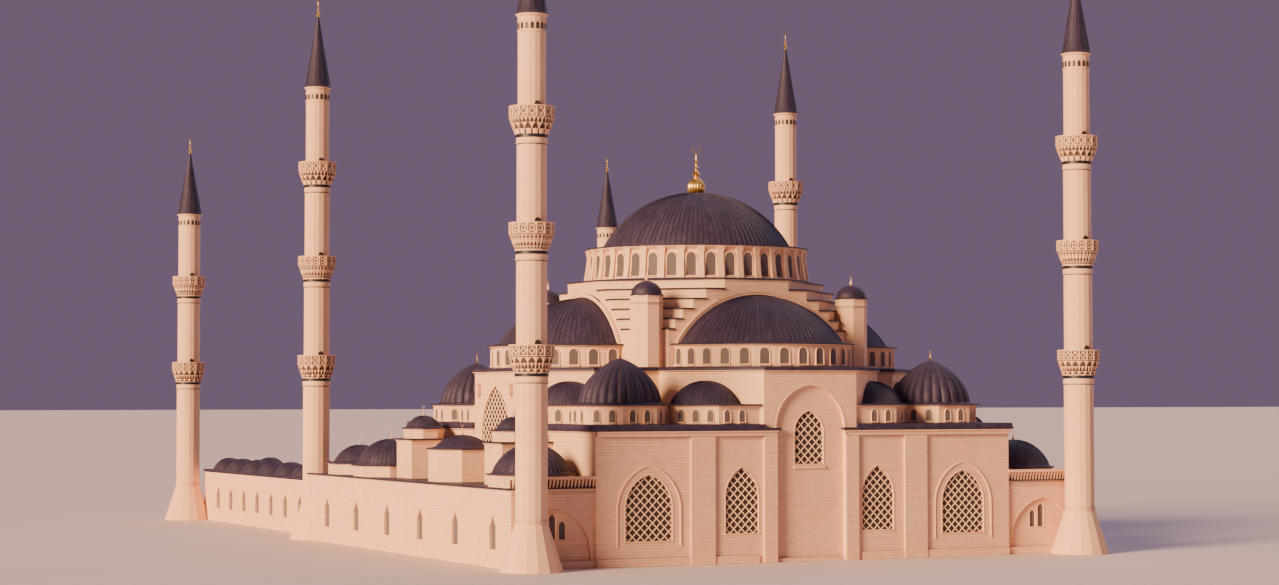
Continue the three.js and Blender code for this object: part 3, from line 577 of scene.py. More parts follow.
def sheet_body(outer: Array, inner: Array, wrap: bool, depth: Array | None = None) -> Body:
    """A closed body between two grids of the same shape.

    Both grids give their own faces, and strips join their free edges.

    Args:
        outer: Rows by columns of corners on the outside.
        inner: The same on the inside.
        wrap: Whether the last column joins the first.
        depth: Painted shade of the outer corners, by how deep they lie.

    Returns:
        The body.
    """
    rows, columns = outer.shape[:2]
    half = rows * columns
    front = grid_faces(rows, columns, False, wrap)
    back = front[:, ::-1] + half
    j = np.arange(columns if wrap else columns - 1)
    on = (j + 1) % columns
    last = (rows - 1) * columns
    low = np.stack([half + j, half + on, on, j], -1)
    high = np.stack([last + j, last + on, half + last + on, half + last + j], -1)
    strips = [front, back, low, high]
    if not wrap:
        i = np.arange(rows - 1) * columns
        strips.append(np.stack([i, i + columns, half + i + columns, half + i], -1))
        i = i + columns - 1
        strips.append(np.stack([half + i, half + i + columns, i + columns, i], -1))
    points = np.concatenate([outer.reshape(-1, 3), inner.reshape(-1, 3)])
    deep = np.zeros(len(points))
    if depth is not None:
        deep[:half] = depth.reshape(-1)
    return Body(points, np.concatenate(strips), None, deep).welded().outward()


def ring_angles(sides: int) -> Array:
    """Angles of a regular outline's corners, the first half a side round from the X axis."""
    return (np.arange(sides) + 0.5) * math.tau / sides


def polar(radius: Array, angle: Array, height: Array, squeeze: float = 1.0) -> Array:
    """Corners at a radius, an angle and a height about the Z axis, with Y squeezed."""
    return np.stack([radius * np.cos(angle), radius * np.sin(angle) * squeeze, height + 0 * angle], -1)


def turned(points: Array, turn: float) -> Array:
    """Places in a plan, turned about its origin."""
    cos, sin = math.cos(turn), math.sin(turn)
    return points @ np.array([[cos, sin], [-sin, cos]])


def lathed(profile: Array, sides: int) -> Body:
    """A closed outline of (radius, height) turned about the Z axis.

    Args:
        profile: The outline's corners in order.
        sides: Number of sides.

    Returns:
        The body, about the origin.
    """
    grid = polar(profile[:, 0][:, None], ring_angles(sides), profile[:, 1][:, None])
    faces = grid_faces(len(profile), sides, True, True)
    return Body(grid.reshape(-1, 3), faces).welded().outward()


def outline(*corners: tuple[float, float]) -> Array:
    """An outline given corner by corner."""
    return np.array(corners, float)


def swept(path: Array, section: Array, closed: bool) -> Body:
    """A section carried along a flat path, mitred at the corners.

    Each corner of the path is moved along the bisector of its two edges, by the section's
    first measure over the cosine of half the turn; the second measure is out of the plane.

    Args:
        path: Corners of the path, in its plane.
        section: Closed outline of (sideways, out of the plane).
        closed: Whether the path's end joins its start.

    Returns:
        The body with the path's plane as its first two axes.
    """
    ahead = np.roll(path, -1, axis=0) - path
    behind = path - np.roll(path, 1, axis=0)
    if not closed:
        ahead[-1], behind[0] = behind[-1], ahead[0]
    normals = []
    for step in (ahead, behind):
        unit = step / np.linalg.norm(step, axis=1)[:, None]
        normals.append(np.stack([unit[:, 1], -unit[:, 0]], -1))
    middle = normals[0] + normals[1]
    middle /= np.linalg.norm(middle, axis=1)[:, None]
    middle /= np.einsum("ij,ij->i", middle, normals[0])[:, None]
    flat = path[:, None, :] + middle[:, None, :] * section[None, :, :1]
    rise = np.broadcast_to(section[None, :, 1:], (*flat.shape[:2], 1))
    grid = np.concatenate([flat, rise], -1)
    rows, columns = grid.shape[:2]
    points = grid.reshape(-1, 3)
    faces = grid_faces(rows, columns, closed, True)
    if not closed:
        ends = np.stack([grid[0].mean(0), grid[-1].mean(0)])
        k = np.arange(columns)
        on = (k + 1) % columns
        count = rows * columns
        last = count - columns
        first = np.stack([k, 0 * k + count, on, on], -1)
        second = np.stack([last + on, 0 * k + count + 1, last + k, last + k], -1)
        points = np.concatenate([points, ends])
        faces = np.concatenate([faces, first, second])
    return Body(points, faces).outward()


def upright(body: Body) -> Body:
    """Stands a flat body up: its plane becomes along and up, its third axis points out."""
    return Body(body.points[:, [0, 2, 1]], body.faces, None, body.depth).outward()


def slab(corners: Array, low: float, high: float) -> Body:
    """A convex outline made a plate, by fans about its middle.

    Args:
        corners: The outline.
        low: Height of the underside.
        high: Height of the top.

    Returns:
        The plate.
    """
    count = len(corners)
    k = np.arange(count)
    on = (k + 1) % count
    hub = np.full(count, count)
    above = count + 1
    flat = np.concatenate([corners, corners.mean(0)[None]])
    points = np.concatenate([np.column_stack([flat, np.full(above, level)]) for level in (low, high)])
    faces = np.concatenate([
        np.stack([on, k, hub, hub], -1),
        np.stack([above + k, above + on, above + hub, above + hub], -1),
        np.stack([k, on, above + on, above + k], -1),
    ])
    return Body(points, faces).outward()


def oblong(x0: float, x1: float, y0: float, y1: float) -> Array:
    """Outline of a rectangle."""
    return outline((x0, y0), (x1, y0), (x1, y1), (x0, y1))


def block(x0: float, x1: float, y0: float, y1: float, z0: float, z1: float) -> Body:
    """A box with straight sides."""
    return slab(oblong(x0, x1, y0, y1), z0, z1)


def rim(path: Array, section: Array) -> Body:
    """A section of (outwards, out of the wall) carried along an outline that stands upright."""
    return upright(swept(path, section, False))


def arch(half: float, sill: float, spring: float, apex: float, steps: int = 8) -> Array:
    """Outline of a two-centred arch, from its left foot round to its right foot.

    Args:
        half: Half of the width.
        sill: Height of the foot.
        spring: Height where the arcs start.
        apex: Height of the point.
        steps: Chords in each arc.

    Returns:
        Corners, sill corners first and last.
    """
    rise = apex - spring
    radius = (half * half + rise * rise) / (2 * half)
    last = math.atan2(rise, radius - half)
    angle = np.linspace(0, last, steps + 1)
    right = np.column_stack([half - radius + radius * np.cos(angle), spring + radius * np.sin(angle)])
    right[-1, 0] = 0.0
    left = right[-2::-1] * (-1, 1)
    return np.concatenate([[(half, sill)], right, left, [(-half, sill)]])


def crossed_bars(shape: Array, pitch: float, width: float, thick: float) -> Body:
    """Two families of slanted bars that fill a convex outline.

    A bar rises as far as it runs. Its middle line is cut by the outline's edges: the largest of the
    entries and the smallest of the exits give its two ends.

    Args:
        shape: The outline, in turn to the left.
        pitch: Width of a diamond along the wall.
        width: Width of a bar.
        thick: Thickness of a bar.

    Returns:
        The bars, along the wall, out of it, and up.
    """
    edge = np.roll(shape, -1, axis=0) - shape
    inward = np.stack([-edge[:, 1], edge[:, 0]], -1)
    wide, tall = np.ptp(shape, axis=0)
    count = int((wide + tall) / pitch) + 1
    starts = shape[:, 0].min() + wide / 2 + (np.arange(-count, count + 1) + 0.5) * pitch
    origin = np.column_stack([starts, np.full(len(starts), shape[:, 1].min())])
    gap = np.einsum("kj,ikj->ik", inward, origin[:, None, :] - shape[None])
    bars = []
    for sign in (1.0, -1.0):
        way = np.array([sign, 1.0]) / math.sqrt(2)
        speed = inward @ way
        with np.errstate(divide="ignore", invalid="ignore"):
            cut = -gap / speed
        entry = np.where(speed > NIL, cut, -FAR).max(1)
        leave = np.where(speed < -NIL, cut, FAR).min(1)
        kept = leave - entry > width * 1.5
        a = origin[kept] + way * entry[kept][:, None]
        b = origin[kept] + way * leave[kept][:, None]
        cross = np.array([-way[1], way[0]]) * width / 2
        shift = 0.15 * thick * (sign < 0)
        corners = [a - cross, b - cross, b + cross, a + cross]
        ring = [np.insert(c, 1, level, axis=1) for level in (shift, thick + shift) for c in corners]
        points = np.stack(ring, 1)
        number = np.arange(len(points))[:, None, None] * len(ring)
        bars.append(Body(points.reshape(-1, 3), (BOX_FACES[None] + number).reshape(-1, 4)).outward())
    return gathered(bars)


# Pieces that are set in the scene.


def linked(name: str, data: bpy.types.ID) -> bpy.types.Object:
    """Sets data in the scene as an object.

    Args:
        name: The object's name.
        data: A mesh, a light or a camera.

    Returns:
        The object.
    """
    made = bpy.data.objects.new(name, data)
    bpy.context.scene.collection.objects.link(made)
    return made


class Dresser:
    """Puts finished meshes in the scene and keeps the finishes."""

    def __init__(self, frame: dict) -> None:
        """Makes the finishes that the pieces share.
        """
        self.nodes = frame["nodes"]
        self.finishes = {
            "stone": stone_finish("ashlar"),
            "smooth_stone": stone_finish("smooth_ashlar", 0.95, line=0.05, joint=0.0),
            "terrace": stone_finish("terrace_stone", lead_below=23.25),
            # The carved finishes paint shade where a piece's depth attribute is high.
            "carved": carved_finish("carved_stone"),
            "lattice": carved_finish("lattice_stone", (1.0, 0.667, 0.45)),
            "fine_lattice": carved_finish("fine_lattice_stone", (0.29, 0.24, 0.265)),
            "gilt": gilt_finish(),
            # Dark glass, painted as the shade behind windows and in the minarets' openings.
            "pane": clouded_finish("window_glass_painted_shade", 0.5, PANE_SHADE, 0.42, 0.15),
            "band": clouded_finish("dark_band", 3.0, BAND, 0.35, 0.2),
            "paving": paving_finish(),
            "timber": wood_finish(),
        }

    def finish(self, name: str) -> bpy.types.Material:
        """A shared finish; lead_N has N rolls round a dome.

        Args:
            name: The finish's name.

        Returns:
            The material.
        """
        if name not in self.finishes:
            self.finishes[name] = lead_finish(name, int(name.split("_")[1]))
        return self.finishes[name].material

    def dress_node(self, node: str, name: str) -> None:
        """Gives a CAD node its finish.

        Args:
            node: The node's name.
            name: The finish's name.
        """
        slots = self.nodes[node].data.materials
        slots.clear()
        slots.append(self.finish(name))

    def add(self, name: str, shape: Body | Iterable[Body], finish: str, at: tuple[float, float] = HALL,
            replaces: Sequence[str] = ()) -> None:
        """Makes one mesh object, in the material slot that its finish belongs to.

        Args:
            name: The piece's name.
            shape: Its shape or shapes, in real metres.
            finish: Name of the finish.
            at: Where the shape's origin stands in the plan.
            replaces: CAD nodes that it stands for.
        """
        body = shape if isinstance(shape, Body) else gathered(shape)
        points = (body.points + (*at, 0.0)) * SCALE
        keep = body.faces != np.roll(body.faces, -1, axis=1)
        crossed = (body.faces[:, 0] == body.faces[:, 2]) | (body.faces[:, 1] == body.faces[:, 3])
        keep[(keep.sum(1) < 3) | crossed] = False
        counts = keep.sum(1)
        counts = counts[counts > 0]
        mesh = bpy.data.meshes.new(name)
        mesh.vertices.add(len(points))
        mesh.vertices.foreach_set("co", points.astype(np.float32).ravel())
        mesh.loops.add(int(counts.sum()))
        mesh.loops.foreach_set("vertex_index", body.faces[keep].astype(np.int32))
        mesh.polygons.add(len(counts))
        mesh.polygons.foreach_set("loop_start", (np.cumsum(counts) - counts).astype(np.int32))
        mesh.update(calc_edges=True)
        own = mesh.attributes.new("own", "FLOAT_VECTOR", "POINT")
        own.data.foreach_set("vector", body.own.astype(np.float32).ravel())
        deep = mesh.attributes.new("depth", "FLOAT", "POINT")
        deep.data.foreach_set("value", body.depth.astype(np.float32))
        mesh.shade_smooth()
        mesh.set_sharp_from_angle(angle=math.radians(SHARP_DEGREES))
        mesh.materials.append(self.finish(finish))
        made = linked(name, mesh)
        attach(made, "root")
        if replaces:
            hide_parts(*replaces)
        log.info("%s: %d triangles", name, int((counts - 2).sum()))


# Domes.


@dataclass(frozen=True)
class Dome:
    """A dome of lead sheets with rolls between them.

    Attributes:
        at: Middle of its plan.
        base: Height of its rim.
        radius: Radius of the rim.
        rise: Height of the crown over the rim.
        ribs: Rolls round the whole dome.
        roll: How far a roll stands out.
        shell: Thickness of the dome.
        turn: For a half dome, the angle that its front turns from the -Y side.
        squeeze: Depth of a half dome over its radius.
        rows: Rows of faces from rim to crown.
    """

    at: tuple[float, float]
    base: float
    radius: float
    rise: float
    ribs: int
    roll: float = 0.1
    shell: float = 0.3
    turn: float | None = None
    squeeze: float = 1.0
    rows: int = 20

    def angles(self) -> tuple[Array, Array]:
        """Angles of the columns and how much of a roll each has.

        Returns:
            The angles, and the share of a roll's height at each.
        """
        whole = self.turn is None
        first = 0.0 if whole else math.pi
        ribs = self.ribs if whole else self.ribs // 2
        angle = first + ((np.arange(ribs)[:, None] + RIB_STEPS) * math.tau / self.ribs).ravel()
        height = np.tile(RIB_HEIGHTS, ribs)
        if whole:
            return angle, height
        return np.append(angle, math.tau), np.append(height, 1.0)

    def body(self) -> Body:
        """The shell: an arc of a circle from rim to crown, turned about the dome's axis.

        The rolls stand out along the arc's normal and fade out towards the crown.

        Returns:
            The shell in its place.
        """
        circle = (self.radius**2 + self.rise**2) / (2 * self.rise)
        start = math.asin((circle - self.rise) / circle)
        arc = np.linspace(start, math.pi / 2, self.rows + 1)[:, None]
        angle, height = self.angles()
        out = self.roll * height * np.clip(np.cos(arc) * circle / self.radius * 3, 0, 1)
        radius = np.maximum((circle + out) * np.cos(arc), 0)
        rise = (circle + out) * np.sin(arc) - circle + self.rise
        radius[-1], rise[-1] = 0.0, self.rise
        inner = np.maximum((circle - self.shell) * np.cos(arc) + 0 * angle, 0)
        under = (circle - self.shell) * np.sin(arc) - circle + self.rise + 0 * angle
        under[0] = 0.0
        grids = [polar(r, angle, h, self.squeeze) for r, h in ((radius, rise), (inner, under))]
        made = sheet_body(*grids, wrap=self.turn is None)
        if self.turn is not None:
            made.points[:, :2] = turned(made.points[:, :2], self.turn)
        return made.moved(*self.at, self.base)


@dataclass(frozen=True)
class MelonDome:
    """A pointed dome of round gores.

    Attributes:
        at: Middle of its plan.
        base: Height of its rim.
        radius: Radius over the gores.
        rise: Height of the point over the rim.
        gores: Number of gores.
        depth: How deep the valleys lie, as a share of the radius.
    """

    at: tuple[float, float]
    base: float
    radius: float = 7.0
    rise: float = 7.85
    gores: int = 24
    depth: float = 0.055

    def body(self) -> Body:
        """The shell: the radius falls as 1 - t^2 to the power 0.78, and each gore is a half sine.

        Returns:
            The shell in its place.
        """
        steps = 8
        t = np.sin(np.linspace(0, math.pi / 2, 25))[:, None]
        radius = self.radius * (1 - t**2) ** 0.78
        angle = np.arange(self.gores * steps) * math.tau / (self.gores * steps)
        swell = np.abs(np.sin(angle * self.gores / 2)) ** 0.7
        outer = radius * (1 - self.depth * (1 - swell))
        inner = np.maximum(radius * (1 - self.depth) - 0.4, 0.0)
        inner[-1] = 0.0
        top = t * self.rise
        grids = [polar(outer, angle, top), polar(inner, angle, np.maximum(top - 0.5 * t, 0))]
        deep = np.broadcast_to(1 - swell, outer.shape)
        return sheet_body(*grids, wrap=True, depth=deep).moved(*self.at, self.base)


# The stem's outline, as shares of the finial's height and of its lowest ball's radius.
STEM_HEIGHTS = (
    0.0, 0.03, 0.06, 0.14, 0.22, 0.25, 0.29, 0.34, 0.39, 0.42, 0.46, 0.50, 0.54, 0.57, 0.74, 0.74)
STEM_RADII = (0.0, 0.7, 0.5, 1.0, 0.5, 0.25, 0.25, 0.7, 0.25, 0.2, 0.2, 0.5, 0.2, 0.14, 0.1, 0.0)


def crescent(outer: float, height: float) -> Body:
    """A crescent that opens upwards: an arc whose width falls as a cosine towards its horns.

    Args:
        outer: Radius of its outside.
        height: Height of its middle.

    Returns:
        The crescent.
    """
    horn, count = 2.45, 25
    angle = np.linspace(-horn, horn, count)
    width = outer * 0.24 * np.cos(angle / horn * 1.5)
    ring = np.column_stack([np.sin(angle), -np.cos(angle)])
    edges = [ring * (outer - (t * width)[:, None]) for t in (0.0, 1.0)]
    levels = (-0.12 * outer, 0.12 * outer)
    flat = np.array([np.column_stack([e, np.full(count, level)]) for level in levels for e in edges])
    i = np.arange(count - 1)
    faces = [
        np.stack([a * count + i, a * count + i + 1, b * count + i + 1, b * count + i], -1)
        for a, b in ((0, 1), (1, 3), (3, 2), (2, 0))
    ]
    start = count * np.array([0, 1, 3, 2])
    faces.append(np.stack([start, start + count - 1]))
    moon = upright(Body(flat.reshape(-1, 3), np.concatenate(faces)))
    return moon.moved(0.0, 0.0, height).welded().outward()


def finial(height: float, fat: float, sides: int = 12) -> Body:
    """A gilt finial of stacked balls with a crescent on top.

    Args:
        height: Its whole height.
        fat: Radius of the lowest ball.
        sides: Number of sides.

    Returns:
        The finial, standing on the origin.
    """
    stem = np.column_stack([np.array(STEM_RADII) * fat, np.array(STEM_HEIGHTS) * height])
    outer = height * 0.12
    return gathered([lathed(stem, sides), crescent(outer, height - outer)])


# Windows.


@dataclass(frozen=True)
class Window:
    """An arched window with its architrave, lattice, sill and glass.

    Attributes:
        half: Half of the width.
        sill: Height of the sill.
        spring: Height of the spring.
        apex: Height of the point.
        pitch: Width of a lattice diamond.
        bar: Width of a lattice bar.
        band: Width of the architrave.
        proud: How far the architrave stands out.
        sunk: How far the lattice stands back.
        steps: Steps of the arch on each side.
        tone: Finish of the lattice.
    """

    half: float
    sill: float
    spring: float
    apex: float
    pitch: float = 0.36
    bar: float = 0.045
    band: float = 0.2
    proud: float = 0.1
    sunk: float = 0.35
    steps: int = 6
    tone: str = "fine_lattice"

    def shape(self) -> Array:
        """Outline of the opening."""
        return arch(self.half, self.sill, self.spring, self.apex, self.steps)

    def architrave(self) -> Body:
        """Band round the arch and a sill under it.

        Returns:
            The two as one body.
        """
        section = outline((-0.03, -0.35), (self.band, -0.35), (self.band, self.proud * 0.7),
                          (self.band * 0.6, self.proud), (-0.03, self.proud * 0.6))
        ring = rim(self.shape(), section)
        reach = self.half + self.band * 1.2
        sill = block(-reach, reach, -0.3, self.proud * 1.6, self.sill - self.band * 1.1, self.sill + 0.02)
        return gathered([ring, sill])

    def lattice(self) -> Body:
        """Crossed bars that fill the opening.

        Returns:
            The bars, set back in the opening.
        """
        bars = crossed_bars(self.shape(), self.pitch, self.bar, min(self.bar * 0.9, 0.08))
        bars.points = bars.points - (0.0, self.sunk, 0.0)
        bars.own = bars.points.copy()
        return bars

    def pane(self) -> Body:
        """Dark glass behind the bars, whose colour is painted shade."""
        return upright(slab(self.shape(), -self.sunk - 0.16, -self.sunk - 0.06))

    def fill(self, dresser: Dresser, name: str, places: Array) -> None:
        """Adds frames, lattices and panes at several places.

        Args:
            dresser: Where the pieces go.
            name: What the pieces' names start with.
            places: Rows of x, y and turn.
        """
        parts = (
            ("frames", self.architrave(), "carved"),
            ("lattices", self.lattice(), self.tone),
            ("panes", self.pane(), "pane"),
        )
        for kind, body, finish in parts:
            dresser.add(f"{name}_{kind}", body.scattered(places), finish)


def pair(x: float, y: float, turn: float = 0.0) -> Array:
    """A place and its mirror image, left one first."""
    return np.array([[side * x, y, side * turn] for side in SIDES])


def around(count: int, radius: float, centre: tuple[float, float] = (0.0, 0.0), first: float = 0.0,
           step: float | None = None) -> Array:
    """Places on a circle that face outwards.

    Args:
        count: Number of places.
        radius: Radius of the circle.
        centre: Its middle.
        first: Angle of the first place from the -Y side.
        step: Angle between places; an even share if left out.

    Returns:
        Rows of x, y and turn.
    """
    turn = first + np.arange(count) * (math.tau / count if step is None else step)
    return np.column_stack([centre[0] + radius * np.sin(turn), centre[1] - radius * np.cos(turn), turn])


def turned_places(places: Array, turn: float, centre: tuple[float, float] = ORIGIN) -> Array:
    """Places turned about the origin and moved to a centre."""
    return np.column_stack([turned(places[:, :2], turn) + centre, places[:, 2] + turn])


# Minarets.


# Width of the slope at a cut's edge, as a share of half a cell.
CUT_SLOPE = 0.16


class Cut(Enum):
    """What a row of carving is cut into."""

    PLAIN = "plain"
    SHADE = "shade"
    NICHE = "niche"
    GROOVE = "groove"
    TEETH = "teeth"
    HOLE = "hole"
    FLUTE = "flute"
    ROSETTE = "rosette"
    RINGS = "rings"
    SQUARES = "squares"

    def share(self, t: Array, c: Array) -> Array:
        """How deep the cut is, from 0 to 1.

        A niche narrows upwards as 1 - t^2, teeth as 1 - t. A flute is a half cosine. The panels are a
        frame with a ring, with four rings and a boss, or with a square and crossed bars.

        Args:
            t: Height in the row, from 0 to 1.
            c: Place across a cell, from -1 to 1.

        Returns:
            The share for each height and place.
        """
        v = 2 * t - 1
        reach = np.hypot(c, v)
        # A shade row is dark all over in the carved finish: a painted shadow line.
        if self is Cut.SHADE:
            return np.ones_like(reach)
        if self is Cut.FLUTE:
            return np.cos(c * math.pi / 2) * (1 - t**3)
        side, rise = np.abs(c), np.abs(v)
        far, near = np.maximum(side, rise), np.minimum(side, rise)
        frame = 0.84 - far
        ring = np.minimum(np.abs(reach - 0.6) - 0.15, reach - 0.12)
        rings = np.minimum(np.abs(reach - 0.45) - 0.13, np.abs(side - rise) + 0.9 * (reach < 0.4) - 0.16)
        squares = np.minimum(np.abs(far - 0.42) - 0.11, near + 0.9 * (far < 0.42) - 0.1)
        edge = {
            Cut.PLAIN: -1.0 + 0 * reach,
            Cut.NICHE: 0.86 * (1 - t**2) - side,
            Cut.GROOVE: np.minimum(side - 0.78, 0.9 - t),
            Cut.TEETH: 0.95 * (1 - t) - side,
            Cut.HOLE: 0.55 - reach,
            Cut.ROSETTE: np.minimum(frame, ring),
            Cut.RINGS: np.minimum(frame, rings),
            Cut.SQUARES: np.minimum(frame, squares),
        }[self]
        return np.clip(edge / CUT_SLOPE + 0.5, 0, 1)


@dataclass(frozen=True)
class Tier:
    """One carved row round a balcony.

    Attributes:
        low: Foot of the row over the band under the balcony.
        high: Its head.
        foot: Radius of its face at the foot.
        head: Radius of its face at the head.
        cut: What it is cut into.
        cells: Cells round the minaret.
        depth: Depth of the cut.
        phase: Shift of the cells, as a share of one.
        rows: Rows of faces.
    """

    low: float
    high: float
    foot: float
    head: float
    cut: Cut
    cells: int = 16
    depth: float = 0.15
    phase: float = 0.0
    rows: int = 7


# Heights over the dark band: the parapet's panels, and the top of its rail.
PARAPET_FOOT = 2.88
PARAPET_HEAD = 4.62
RAIL = 4.74


def shade_row(low: float) -> Tier:
    """The painted shadow line under the parapet."""
    return Tier(low, PARAPET_FOOT, 3.62, 3.62, Cut.SHADE, 16, 0.005, rows=1)


def parapet_row(cut: Cut) -> Tier:
    """The parapet's panels."""
    return Tier(PARAPET_FOOT, PARAPET_HEAD, 3.68, 3.68, cut, 16, 0.11, rows=14)


LOW_TIERS = (
    Tier(0.22, 0.9, 2.86, 3.02, Cut.NICHE, 16, 0.14),
    Tier(0.9, 1.8, 3.08, 3.32, Cut.NICHE, 32, 0.18, 0.5),
    Tier(1.8, 2.74, 3.36, 3.64, Cut.NICHE, 16, 0.18),
    shade_row(2.74),
    parapet_row(Cut.SQUARES),
)
MIDDLE_TIERS = (
    Tier(0.2, 0.42, 2.76, 2.76, Cut.PLAIN, rows=1),
    Tier(0.42, 1.0, 2.74, 2.96, Cut.FLUTE, 32, 0.1, rows=4),
    Tier(1.0, 1.76, 3.02, 3.24, Cut.TEETH, 32, 0.22, rows=6),
    Tier(1.76, 2.12, 3.27, 3.4, Cut.HOLE, 32, 0.12, rows=5),
    Tier(2.12, 2.76, 3.42, 3.66, Cut.FLUTE, 32, 0.16, rows=5),
    shade_row(2.76),
    parapet_row(Cut.RINGS),
)
HIGH_TIERS = (
    Tier(0.2, 1.0, 2.74, 2.99, Cut.GROOVE, 16, 0.14, 0.5, rows=5),
    Tier(1.0, 1.95, 3.1, 3.42, Cut.NICHE, 16, 0.24, 0.5),
    Tier(1.95, 2.78, 3.46, 3.66, Cut.NICHE, 32, 0.16, rows=6),
    shade_row(2.78),
    parapet_row(Cut.ROSETTE),
)


@dataclass
class Group:
    """Pieces that belong together.

    Attributes:
        dresser: What sets them in the scene.
    """

    dresser: Dresser


@dataclass
class Minaret(Group):
    """One minaret with its balconies, bands, spire and finial.

    Attributes:
        name: Row and side.
        x: Place in the plan.
        y: Place in the plan.
        levels: Heights of the dark bands under the balconies.
        spire_base: Height of the spire's foot.
        radii: Radius of the shaft under each balcony and over the last.
        sides: Sides of the shaft.
        lip: Radius of the balconies.
        spire_rise: Height of the spire.
        columns: Columns of the carving on each side.
        foot: Height where the flared foot ends.
        tip: Height of the finial, and radius of its lowest ball.
    """

    name: str
    x: float
    y: float
    levels: tuple[float, ...]
    spire_base: float
    radii: tuple[float, ...] = (2.62, 2.52, 2.45, 2.3)
    sides: int = 16
    lip: float = 3.6
    spire_rise: float = 14.1
    columns: int = 13
    foot: float = 7.75
    tip: tuple[float, float] = (4.2, 0.44)

    def carving(self, level: float, shaft: float, tiers: Sequence[Tier]) -> Body:
        """Carved rows and parapet of one balcony, as one ring.

        Each row's face is a cone; its cut is taken off, but never below the plain cone behind it. The
        radius is divided by the cosine of the angle from the side's middle, so that the sides are flat.

        Args:
            level: Height of the dark band.
            shaft: Radius of the shaft under the balcony.
            tiers: The rows from the bottom up.

        Returns:
            The ring about the minaret's axis.
        """
        count = self.sides * self.columns
        angle = np.arange(count) * math.tau / count
        off = (angle + math.pi / self.sides) % (math.tau / self.sides) - math.pi / self.sides
        flat = math.cos(math.pi / self.sides) / np.cos(off)
        radii, heights, depths = [], [], []
        for tier in tiers:
            t = np.linspace(0, 1, tier.rows + 1)[:, None]
            cell = (angle * tier.cells / math.tau + tier.phase + 0.5) % 1.0 * 2 - 1
            share = tier.cut.share(t, cell[None])
            height = tier.low + (tier.high - tier.low) * t
            behind = np.minimum(shaft + (self.lip - shaft) * (height - 0.3) / 2.5, self.lip) + 0.015
            face = tier.foot + (tier.head - tier.foot) * t - tier.depth * share
            radii.append(np.maximum(face, behind) * flat)
            heights.append(level + height + 0 * angle)
            # Painted shade: the deeper the cut, the darker the carved finish paints it.
            depths.append(np.minimum(share * 1.1, 1.0))
        back = self.lip - 0.2
        for radius, height in ((back, tiers[-1].high), (back, 2.7), (shaft - 0.1, tiers[0].low)):
            radii.append(radius + 0 * angle[None])
            heights.append(level + height + 0 * angle[None])
            depths.append(0 * angle[None])
        radius, height, depth = (np.concatenate(rows) for rows in (radii, heights, depths))
        grid = np.stack([radius * np.sin(angle), -radius * np.cos(angle), height], -1)
        faces = grid_faces(*radius.shape, True, True)
        return Body(grid.reshape(-1, 3), faces, None, depth.ravel()).outward()

    def ring(self, low: float, high: float, inner: float, outer: float, slope: float = 0.0) -> Body:
        """A moulding round the shaft, with as many sides."""
        return lathed(outline((inner, low), (outer - slope, low), (outer, high), (inner, high)), self.sides)

    def mouldings(self, level: float, shaft: float) -> Body:
        """Plain rings of one balcony and the posts of its parapet.

        Args:
            level: Height of the dark band.
            shaft: Radius of the shaft under the balcony.

        Returns:
            The rings and posts.
        """
        post = block(-0.1, 0.1, self.lip, self.lip + 0.12, level + PARAPET_FOOT, level + RAIL)
        return gathered([
            self.ring(level - 1.3, level - 1.14, shaft - 0.1, shaft + 0.2, 0.08),
            self.ring(level - 1.14, level - 0.33, shaft - 0.1, shaft + 0.1),
            self.ring(level + 0.2, level + 0.38, shaft - 0.1, shaft + 0.14),
            self.ring(level + 4.6, level + RAIL, self.lip - 0.32, self.lip + 0.13),
            post.scattered(around(self.sides, 0.0, first=math.pi / self.sides)),
        ])

    def bands(self, level: float, shaft: float) -> Body:
        """The black band under a balcony and the thin dark line under its white one.

        Args:
            level: Height of the dark band.
            shaft: Radius of the shaft under the balcony.

        Returns:
            The bands.
        """
        return gathered([
            self.ring(level - 0.33, level + 0.2, shaft - 0.1, shaft + 0.15),
            self.ring(level - 1.42, level - 1.3, shaft - 0.1, shaft + 0.06),
        ])

    def openings(self) -> Body:
        """Dark plates for the small windows under the spire and the doors to the balconies, painted as the
        shade in these openings.

        Returns:
            The openings.
        """
        half_turn = math.cos(math.pi / self.sides)
        neck, top = self.radii[len(self.levels)] * half_turn, self.spire_base
        hole = arch(0.27, top - 2.5, top - 1.75, top - 1.45, 4)
        parts = [upright(slab(hole, neck - 0.1, neck + 0.05)).scattered(around(self.sides, 0.0))]
        for k, level in enumerate(self.levels):
            face = self.radii[k + 1] * half_turn
            door = arch(0.55, level + 3.0, level + 4.95, level + 5.55, 5)
            parts.append(upright(slab(door, face - 0.2, face + 0.03)).scattered(around(1, 0.0)))
        return gathered(parts)

    def spire(self, foot: float) -> Body:
        """The lead cone, with a roll up each of its edges.

        Args:
            foot: Radius of its foot.

        Returns:
            The cone and its rolls.
        """
        top, rise = self.spire_base, self.spire_rise
        cone = lathed(outline(
            (0.0, top + 0.02), (foot + 0.3, top + 0.02), (foot + 0.22, top + 0.25), (foot, top + 0.5),
            (0.2, top + rise), (0.0, top + rise)), self.sides)
        grids = [
            np.array([[(side * 0.05, foot + lift, top + 0.5) for side in SIDES],
                      [(side * 0.03, 0.2 + lift, top + rise - 0.4) for side in SIDES]])
            for lift in (0.05, -0.1)
        ]
        roll = sheet_body(*grids, wrap=False)
        return gathered([cone, roll.scattered(around(self.sides, 0.0, first=math.pi / self.sides))])

